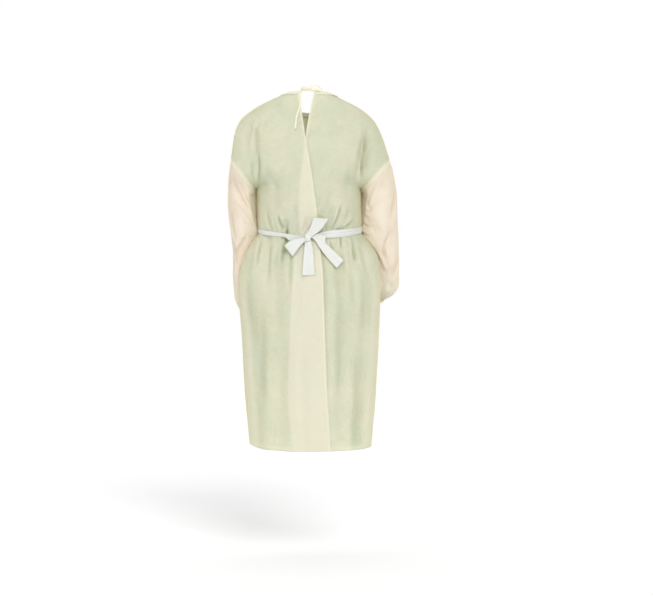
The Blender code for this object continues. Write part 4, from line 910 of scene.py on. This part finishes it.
def sleeve_surface(side, turn, along):
    """A sleeve's outer surface: its folds sunk in, and its inner side kept clear of the body."""
    point = sleeve_point(side, turn, along)
    around = sleeve_point(side, turn + TURN_STEP, along) - sleeve_point(side, turn - TURN_STEP, along)
    upper = np.maximum(along - LEVEL_STEP, 0)
    down = sleeve_point(side, turn, along + LEVEL_STEP) - sleeve_point(side, turn, upper)
    normal = unit(np.cross(around, down)) * SIGN[side]
    depth = fold_depth(unrolled(SLEEVE_FOLDS[side]), sleeve_x(turn), -along) * sleeve_ends(side, along)
    point = point - normal * depth[..., None]
    out = point[..., 0] * SIGN[side]
    least = body_side(side, point[..., 1], point[..., 2]) + SLEEVE_CLEARANCE
    clear = (out + least + np.sqrt((out - least) ** 2 + 4 * CLEARANCE_SOFTNESS ** 2)) / 2
    clear = np.where(point[..., 2] < UNDERARM_LEVEL, clear, out)
    point[..., 0] = SIGN[side] * (out + (clear - out) * ease(along / CLEARANCE_FADE))
    return point


def gathers(side, turn):
    """The uneven wave of the cuff's gathers, from -1 to 1."""
    shift = GATHER_SHIFTS[side]
    return np.cos(GATHERS * turn + 1.3 * np.sin(3 * turn + shift) + 0.8 * np.sin(5 * turn - shift))


def sleeve_end(side, turn):
    """The sleeve's end ring, its middle, the way it points, and how far on its last point is."""
    last = SLEEVE[side].key[-1]
    end = sleeve_point(side, turn, last)
    centre = end.mean(axis=0)
    way = unit(centre - sleeve_point(side, turn, last - CUFF_LEAD).mean(axis=0))
    return end, centre, way, np.max(np.sum((end - centre) * way, axis=1))


def creased_sleeve(side, turn, along):
    """A sleeve's outer points with creases and gathers, their outward way, and its creases' shade."""
    points = sleeve_surface(side, turn, along)
    around = np.roll(points, -1, axis=1) - np.roll(points, 1, axis=1)
    normal = unit(np.cross(np.gradient(points, axis=0), around))
    normal *= np.sign(np.sum(normal * (points - points.mean(axis=1, keepdims=True))))
    girth, x = 2 * math.pi * SLEEVE_RADIUS, sleeve_x(turn)
    depth = sum(crease_depth(CREASES[side], x + shift, -along) for shift in (-girth, 0, girth))
    depth += UNDULATION * swell(girth / 2 - np.abs(x - girth / 2), along, SWELL_SEEDS[side])
    depth *= sleeve_ends(side, along)
    end, centre, way, top = sleeve_end(side, turn[0])
    gathered = ease((along - SLEEVE[side].key[-1]) / GATHER_REACH + 1)
    lag = top - np.sum((end - centre) * way, axis=1)
    points = points + way * (lag * gathered)[..., None]
    puckers = gathers(side, turn) * gathered ** GATHER_POWER
    # Painted shade and highlight of the creases and the cuff's gathers.
    shade = np.clip(depth / CREASE_SHADE + PUCKER_SHADE * puckers, -1, 1)
    points = points - normal * (depth + GATHER_DEPTH * puckers)[..., None]
    out, y, z = SIGN[side] * points[..., 0], points[..., 1], points[..., 2]
    seam_x, seam_y = SIDE.at(side + "_x side_y", z)
    slope = RIM_SLOPE * np.maximum(seam_y + RIM_DEPTH - y, 0)
    least = np.maximum(body_side(side, y, z), (seam_x + slope) * (slope > 0)) + TOUCH
    out = out + (np.maximum(out, least) - out) * ease((UNDERARM_LEVEL - z) / RIM_RAMP)
    points[..., 0] = SIGN[side] * out
    return points, normal, shade


def make_sleeve(side, material, sewing):
    last = SLEEVE[side].key[-1]
    share = np.linspace(0, 1, SLEEVE_DOWN + 1)
    along = last * (SLEEVE_CROWDING * share ** 2 + (1 - SLEEVE_CROWDING) * share)
    turn, along = np.meshgrid(circle(SLEEVE_ROUND), along)
    points, normal, shade = creased_sleeve(side, turn, along)
    inner = np.abs(turn - math.pi) * SLEEVE_RADIUS
    doubled = np.maximum(near(run_lengths(points, 0), ARM_FOLD), near(inner, SEAM_FOLD / 2))
    points = points + normal * (SEAM_RIDGE * doubled)[..., None]
    row = np.argmin(np.abs(run_lengths(points, 0) - SEAM_FOLD + STITCH_IN).mean(axis=1))
    stitch_line(sewing, closed(points[row]), closed(normal[row]))
    # Painted light: the lower sleeve is painted lighter towards the cuff.
    lower_sleeve_light = PAINTED_SLEEVE_LIGHT * ease((along - last) / PAINTED_LIGHT_REACH + 1)
    looks = {DOUBLED_AND_GLOW: np.maximum(doubled, lower_sleeve_light), PAINTED_CREASE_SHADE: shade}
    return cloth_object("gown_sleeve_" + side, points, normal, looks, material, True)


def make_cuff(side, material, sewing):
    """The gathered elastic cuff that goes on from the sleeve's end."""
    turn = circle(CUFF_ROUND)
    end, centre, way, top = sleeve_end(side, turn)
    spread = end - centre
    spread -= np.sum(spread * way, axis=1, keepdims=True) * way
    rings = []
    for share in np.linspace(CUFF_TUCK, 1, CUFF_DOWN + 1):
        bands = CUFF_PINCH * np.cos(share * CUFF_BANDS * 2 * math.pi) ** 2
        wave = CUFF_WAVE * (gathers(side, turn + CUFF_TWIST * share) * (1 - bands) - 1) - CUFF_INSET
        rings.append(centre + way * (top + CUFF_HEIGHT * share) + spread + unit(spread) * wave[:, None])
    for i in CUFF_SEAMS:
        stitch_line(sewing, closed(rings[i]), closed(spread), CUFF_PITCH)
    # Doubled cloth, and painted shade and highlight in the gathers.
    looks = {DOUBLED_AND_GLOW: CUFF_SHADE, PAINTED_CREASE_SHADE: CUFF_CREASE * gathers(side, turn)}
    return cloth_object("gown_cuff_" + side, np.array(rings), unit(spread), looks, material, True)


# ---- neck binding and belt ----
def way_round(start, end, back_count, front):
    """The faces and t of a way from one free edge of the back round the front to the other."""
    return ((BACK, np.linspace(start, -1, back_count)), (FRONT, front),
            (BACK, np.linspace(1, end, back_count)))


def neck_line():
    """Points of the neck edge, how they go down the cloth, and their outward way."""
    start, end = (back_edge_t(name, np.zeros(1))[0] for name in ("over_x", "under_x"))
    runs = way_round(start, end, NECK_BACK_COUNT, np.linspace(-1, 1, NECK_FRONT_COUNT))
    here, lower = (np.concatenate([body(face, t, level) for face, t in runs])
                   for level in (0, -BINDING_HEIGHT))
    out = np.concatenate([body_normal(face, t, -BINDING_HEIGHT / 2) for face, t in runs])
    keep = np.linalg.norm(np.diff(here, axis=0, prepend=here[:1] - 1), axis=1) > NECK_SPACING
    here, lower, out = here[keep], lower[keep], out[keep]
    for _ in range(NECK_SMOOTHING):
        out[1:-1] = unit(out[:-2] + 2 * out[1:-1] + out[2:])
        lower[1:-1] = (lower[:-2] + 2 * lower[1:-1] + lower[2:]) / 4
    return here, unit(lower - here), out


def make_binding(material, sewing):
    """The tape folded over the neck's edge, a little puckered, with its lower edges sewn down."""
    here, down, out = neck_line()
    run = run_lengths(here, 0)
    height, length, sway, sway_length = PUCKER_FINE
    pucker = height * np.sin(run / length + sway * np.sin(run / sway_length))
    pucker = (pucker + PUCKER_BROAD[0] * np.sin(run / PUCKER_BROAD[1]))[:, None]
    sections = []
    for side, drop in BINDING_PROFILE:
        bulge = PUCKER_OUT[0] + PUCKER_OUT[1] * (1 - abs(drop) / BINDING_DROP)
        off = side * (BINDING_OUT + bulge * pucker) - (side < 0) * WALL
        sections.append(here + down * (drop + PUCKER_DOWN * pucker * (drop > 2)) + out * off)
    points = np.array(sections)
    outward = points - (here + down * BINDING_HEIGHT / 2 - out * WALL / 2)
    stitch_line(sewing, points[1] + out * CLOTH / 2, out)
    return cloth_object("neck_binding_tape", points, outward, {}, material)


def make_belt(material):
    """The bunched tape round the waist, from the knot round the front and back to the knot."""
    start, end = solve_t(BACK, np.full(2, WAIST_LEVEL), np.array(BELT_ENDS))
    across = np.linspace(-1, 1, BELT_ACROSS + 1)
    rows, ways, middle = [], [], []
    for face, t in way_round(start, end, BELT_BACK_COUNT, np.linspace(-1, 1, BELT_FRONT_COUNT)[1:-1]):
        flat = body(face, t, WAIST_LEVEL)
        x = flat[:, 0] if face == BACK else np.sign(flat[:, 0]) * BELT_AROUND
        half, rise = BELT_PATH.at("half rise", x[:, None])
        level = WAIST_LEVEL + rise - across * half
        rows.append(body(face, t[:, None], level))
        ways.append(body_normal(face, t[:, None], level))
        middle.append(flat)
    points, normal = np.concatenate(rows), np.concatenate(ways)
    run = run_lengths(np.concatenate(middle), 0)[:, None]
    height, length, slant = BELT_RIPPLE
    ridge = height * np.sin(run / length + slant * across)
    for height, turns, sway, length, shift, drift in BELT_RIDGES:
        phase = turns * math.pi * across + sway * np.sin(run / length + shift) + run * drift
        ridge += height * np.cos(phase)
    out = BELT_GAP + CLOTH + BELT_SWELL * (1 + ridge) * (1 - across ** 6)
    return cloth_object("waist_belt_tape", points + normal * out[..., None], normal, {}, material)


# ---- tapes and ties ----
def body_tape(name, length, waves, both_ends, rows, material):
    """A tie over the back from the rows of its two edges, pleated where the knot holds it."""
    table = Table("key one_x one_z two_x two_z out", [(i, *row) for i, row in enumerate(rows)])
    last = len(rows) - 1
    key = np.linspace(0, last, length + 1)
    edges = []
    for edge in ("one", "two"):
        t, level = on_body(BACK, *table.at(edge + "_x " + edge + "_z", key))
        edges.append(lifted(BACK, t, level, table.at("out", key) + TAPE_GAP + WALL / 2)[:, None])
    share = np.linspace(0, 1, TAPE_ACROSS + 1)
    points = edges[0] + (edges[1] - edges[0]) * share[:, None]
    normal = unit(np.cross(np.gradient(points, axis=0), np.gradient(points, axis=1)))
    key = key[:, None]
    far = 1 - np.abs(2 * key / last - 1) if both_ends else key / last
    held = 1 - ease(far / PLEAT_REACH)
    depth = held * PLEAT_DEPTH * np.cos(2 * math.pi * waves * share + PLEAT_SHIFT)
    depth = depth + (1 - held) * TAPE_WAVE * np.sin(key * TAPE_TURN + TAPE_LEAN * share + waves)
    return cloth_object(name, points + normal * depth[..., None], normal, {}, material)


def smooth_path(points):
    """A smooth curve through the points."""
    table = Table("key x y z", [(i, *point) for i, point in enumerate(points)])
    last = len(points) - 1
    return xyz(*table.at("x y z", np.linspace(0, last, last * TIE_STEPS + 1)))


def add_tube(vertices, faces, points):
    """Adds a solid through rings of points, with a fan over each end."""
    rows, columns = points.shape[:2]
    start, count = len(vertices), len(vertices) + rows * columns
    faces += (grid_faces(rows, columns, True) + start).tolist()
    vertices += points.reshape(-1, 3).tolist() + points[[0, -1]].mean(axis=1).tolist()
    for end, first in ((0, start), (1, count - columns)):
        ring = [first + j for j in range(columns)]
        for a, b in zip(ring, ring[1:] + ring[:1]):
            faces.append((a, b, count + end) if end else (b, a, count + end))


def narrow_tie(name, runs, material):
    """Folded ties along lines, each a flat roll with a crease down its middle."""
    vertices, faces = [], []
    turn = circle(TIE_ROUND)[:, None]
    for line, wide_way, breadth in runs:
        run = unit(np.gradient(line, axis=0))
        wide = unit(wide_way - run * np.sum(wide_way * run, axis=1, keepdims=True))
        thick = np.cross(run, wide)[:, None]
        length = run_lengths(line, 0)[:, None, None]
        half = breadth * NECK_TAPE / 2 * (1 + TIE_BREATH[0] * np.sin(length / TIE_BREATH[1]))
        flat = TIE_THICK * np.sin(turn) * (1 - TIE_PINCH * np.cos(turn) ** 8)
        sway = TIE_SWAY[0] * np.sin(length / TIE_SWAY[1] + 1)
        points = line[:, None] + wide[:, None] * half * np.cos(turn) + thick * (flat + sway * np.cos(turn))
        add_tube(vertices, faces, points)
    return mesh_object(name, vertices, faces, material)


def make_knot(name, centre, size, material):
    """A tight knot: bands of bunched tape wound over each other."""
    u, v = np.meshgrid(circle(KNOT_ROUND), circle(KNOT_BAND), indexing="ij")
    each = grid_faces(KNOT_ROUND, KNOT_BAND, True, True)
    vertices, faces = [], []
    for i, (lean, tilt, width, radius) in enumerate(KNOT_WRAPS):
        axis = unit(np.array([math.cos(lean), math.sin(tilt), math.sin(lean)]))
        one = unit(np.cross(axis, (0, 1, 0)))
        two = np.cross(axis, one)
        ridges = 1 + KNOT_RIDGES * np.cos(3 * v + 2 * np.sin(u)) * (np.sin(v) > 0)
        along = width / 2 * np.cos(v) * (1 + KNOT_TWIST * np.sin(2 * u + lean))
        reach = radius + KNOT_THICK * np.sin(v) * ridges
        ball = one * np.cos(u)[..., None] + two * np.sin(u)[..., None]
        points = (ball * reach[..., None] + axis * along[..., None]) * size
        vertices.append(points.reshape(-1, 3) + centre)
        faces.append(each + i * KNOT_ROUND * KNOT_BAND)
    return mesh_object(name, np.concatenate(vertices), np.concatenate(faces), material)


# ---- finishes ----
class Nodes:
    """A new material's shader nodes, added and joined in one call each. A tuple is a colour."""

    def __init__(self, name):
        self.material = bpy.data.materials.new(name)
        self.material.use_nodes = True
        self.tree = self.material.node_tree
        self.tree.nodes.clear()
        self.place = self.add("TexCoord", "Object")

    def put(self, socket, value):
        if isinstance(value, bpy.types.NodeSocket):
            self.tree.links.new(value, socket)
        else:
            socket.default_value = (*value, 1) if isinstance(value, tuple) else value

    def add(self, kind, output, **values):
        """One output of a new node, or the node where none is named."""
        node = self.tree.nodes.new("ShaderNode" + kind)
        for key, value in values.items():
            if hasattr(node, key):
                setattr(node, key, value)
            else:
                self.put(node.inputs[key.replace("_", " ")], value)
        return node.outputs[output] if output else node

    def noise(self, scale, detail, output="Fac", **values):
        return self.add("TexNoise", output, Vector=self.place, Scale=scale, Detail=detail, **values)

    def math(self, operation, a, b=0.0, clamp=False):
        node = self.add("Math", None, operation=operation, use_clamp=clamp)
        self.put(node.inputs[0], a)
        self.put(node.inputs[1], b)
        return node.outputs[0]

    def times(self, a, b, clamp=False):
        return self.math("MULTIPLY", a, b, clamp)

    def mix(self, share, a, b):
        node = self.add("Mix", None, data_type="RGBA")
        for i, value in ((0, share), (6, a), (7, b)):
            self.put(node.inputs[i], value)
        return node.outputs[2]

    def finish(self, surface):
        self.add("OutputMaterial", None, Surface=surface)
        return self.material


def spunbond(name, colours, through, crumple):
    """Thin bonded fibres: cloudy, finely fibrous and dotted with bonds, lighter where cloth is doubled, with
    painted shade in crease troughs, painted highlights on their ridges and a painted glow along the side
    seams, the skirt's sides and the lower sleeves.
    """
    nodes = Nodes(name)
    cloud = nodes.noise(95.0, 4.0, Roughness=0.6)
    fibre = nodes.noise(760.0, 3.0, Roughness=0.7, Distortion=1.5)
    broad = nodes.noise(9.0, 2.0)
    split = nodes.add("SeparateXYZ", None, Vector=nodes.add("UVMap", "UV", uv_map=CLOTH_MAP))
    u, v = (nodes.math("SINE", nodes.times(split.outputs[axis], 2 * math.pi / (pitch * MM)))
            for axis, pitch in (("X", BOND_PITCH), ("Y", BOND_PITCH * BOND_SQUAT)))
    bond = nodes.math("POWER", nodes.math("ABSOLUTE", nodes.times(u, v)), 3.0)
    clouded = nodes.math("ADD", nodes.times(cloud, 1.1), nodes.times(broad, 1.3))
    base = nodes.mix(nodes.math("SUBTRACT", clouded, 0.7, True), colours["thin"], colours["cloth"])
    if "trough" in colours:
        tint = nodes.times(nodes.math("SUBTRACT", nodes.noise(14.0, 3.0), 0.5), TINT)
        crease = nodes.add("Attribute", "Fac", attribute_name=PAINTED_CREASE_SHADE)
        # Random warm and cool tone, then painted shade in the creases' troughs and a painted highlight on
        # their ridges.
        for value, strength, colour in ((tint, 1.0, "warm"), (tint, -1.0, "cool"),
                                        (crease, TROUGH_SHADE, "trough"), (crease, -RIDGE_SHADE, "ridge")):
            base = nodes.mix(nodes.times(value, strength, True), base, colours[colour])
        # Doubled cloth with painted glow and painted light, then the side seam's painted glow.
        for key, colour in ((DOUBLED_AND_GLOW, "thick"), (SIDE_SEAM_GLOW, "seam")):
            base = nodes.mix(nodes.add("Attribute", "Fac", attribute_name=key), base, colours[colour])
    base = nodes.mix(nodes.times(bond, 0.35), base, colours["bond"])
    strand = nodes.times(nodes.math("SUBTRACT", fibre, 0.5, True), 1.2, True)
    base = nodes.mix(strand, base, colours.get("thick", colours["cloth"]))
    bent = nodes.noise(22.0, 2.0, "Color")
    folds = nodes.add("TexVoronoi", "Distance", Vector=bent, Scale=4.5)
    wide = nodes.add("Bump", "Normal", Height=folds, Strength=crumple, Distance=0.004)
    height = nodes.math("SUBTRACT", nodes.times(fibre, 0.5), nodes.times(bond, 0.5))
    fine = nodes.add("Bump", "Normal", Height=height, Normal=wide, Strength=0.6, Distance=0.0004)
    rough = nodes.math("ADD", nodes.times(fibre, 0.25), 0.62)
    front = nodes.add("BsdfPrincipled", "BSDF", Base_Color=base, Normal=fine, Roughness=rough,
                      Specular_IOR_Level=0.3, Sheen_Weight=0.8, Sheen_Roughness=0.4,
                      Sheen_Tint=colours["sheen"])
    back = nodes.add("BsdfTranslucent", "BSDF", Color=base, Normal=fine)
    shade = nodes.add("MixShader", None, Fac=through)
    nodes.put(shade.inputs[1], front)
    nodes.put(shade.inputs[2], back)
    return nodes.finish(shade.outputs[0])


def thread():
    """Sewing thread, twisted and a little lighter than the cloth."""
    nodes = Nodes("thread")
    twist = nodes.noise(1400.0, 2.0)
    base = nodes.mix(twist, (0.80, 0.78, 0.60), (0.93, 0.91, 0.76))
    bump = nodes.add("Bump", "Normal", Height=twist, Strength=0.5, Distance=0.0002)
    return nodes.finish(nodes.add("BsdfPrincipled", "BSDF", Base_Color=base, Normal=bump, Roughness=0.6))


def plain_floor():
    material = bpy.data.materials.new("floor")
    material.use_nodes = True
    inputs = material.node_tree.nodes["Principled BSDF"].inputs
    inputs["Base Color"].default_value = (0.93, 0.93, 0.93, 1)
    inputs["Roughness"].default_value = 0.9
    return material


# ---- stage ----
def add_object(name, data, place=(0, 0, 0), rotation=(0, 0, 0)):
    thing = bpy.data.objects.new(name, data)
    thing.location, thing.rotation_euler = place, rotation
    bpy.context.scene.collection.objects.link(thing)
    return thing


def make_stage():
    """The pale floor, the soft lights and the camera of the photograph."""
    half = FLOOR_HALF / MM
    corners = [(x, y, FLOOR_Z / MM) for x, y in ((-half, -half), (half, -half), (half, half), (-half, half))]
    floor = mesh_object("floor", corners, [[0, 1, 2, 3]], plain_floor())
    for name, way, width, strength in LIGHTS:
        data = bpy.data.lights.new(name, "SUN")
        data.angle, data.energy = math.radians(width), strength
        add_object(name, data, rotation=Vector(way).to_track_quat("Z", "Y").to_euler())
    scene = bpy.context.scene
    scene.world = bpy.data.worlds.new("studio")
    scene.world.use_nodes = True
    tree = scene.world.node_tree
    path = tree.nodes.new("ShaderNodeLightPath")
    strength = tree.nodes.new("ShaderNodeMapRange")
    strength.inputs["To Min"].default_value = WORLD_STRENGTH
    strength.inputs["To Max"].default_value = WORLD_SEEN
    tree.links.new(path.outputs["Is Camera Ray"], strength.inputs["Value"])
    background = tree.nodes["Background"]
    background.inputs["Color"].default_value = (1, 1, 1, 1)
    tree.links.new(strength.outputs["Result"], background.inputs["Strength"])
    data = bpy.data.cameras.new("camera")
    data.lens, data.sensor_width = CAMERA_LENS, CAMERA_SENSOR
    scene.camera = add_object("camera", data, CAMERA_PLACE, (math.pi / 2, 0, 0))
    scene.view_settings.view_transform = "Standard"


# ---- the gown ----
def hold(piece, node):
    """Puts a piece in the place of its solid."""
    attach(piece, "root")
    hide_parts(node)


def behind_neck(points):
    """A smooth path through points that are given by x, how far behind the neck's edge, and z."""
    x, out, z = np.array(points, dtype=float).T
    edge = body(BACK, solve_t(BACK, np.zeros(len(x)), x), 0.0)
    return smooth_path(xyz(x, edge[:, 1] - out, z))


def make_neck_ties(material):
    """The neck tie's knot, its loop, the strand over the gap and the tail that hangs by the opening."""
    knot = make_knot("neck_knot_tape", NECK_KNOT, NECK_KNOT_SIZE, material)
    hold(knot, "neck_tie_knot")
    x, _, z = smooth_path([(x, 0, z) for x, z in NECK_TAIL_POINTS]).T
    tail = lifted(BACK, *on_body(BACK, x, z), NECK_TAIL_OUT)
    tail[:, 2] = z
    ties = {
        "loop": ((behind_neck(NECK_LOOP_POINTS), NECK_WIDE, 1.0),),
        "strand": ((behind_neck(NECK_STRAND_POINTS), NECK_WIDE, 1.0),
                   (behind_neck(NECK_RISE_POINTS), NECK_WIDE, 1.3)),
        "tail": ((tail, (1, 0, 0), 1.0),),
    }
    for name, runs in ties.items():
        tie = narrow_tie("neck_" + name + "_tape", runs, material)
        hold(tie, "neck_tie_" + name)


def main():
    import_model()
    make_stage()
    gown = spunbond("gown_cloth", GOWN, 0.4, 0.35)
    sleeve = spunbond("sleeve_cloth", SLEEVES, 0.32, 0.4)
    neck = spunbond("neck_tape", NECK, 0.25, 0.2)
    waist = spunbond("waist_tape", WAIST, 0.25, 0.2)
    sewing = []
    hold(front_panel(gown, sewing), "front_panel")
    for side in SIGN:
        hold(back_panel(side, gown, sewing), "back_panel_" + side)
        hold(make_sleeve(side, sleeve, sewing), "sleeve_" + side)
        hold(make_cuff(side, sleeve, sewing), "cuff_" + side)
    hold(make_binding(neck, sewing), "neck_binding")
    stitches("gown_stitches", sewing, thread())
    belt = make_belt(waist)
    for name, *details in BODY_TAPES:
        hold(body_tape(name + "_tape", *details, waist), name)
    knot = lifted(BACK, *on_body(BACK, KNOT_X, KNOT_Z), KNOT_OUT)
    knot = make_knot("waist_knot_tape", knot, KNOT_SIZE, waist)
    hold(knot, "waist_knot")
    hold(belt, "waist_belt")
    make_neck_ties(neck)


main()
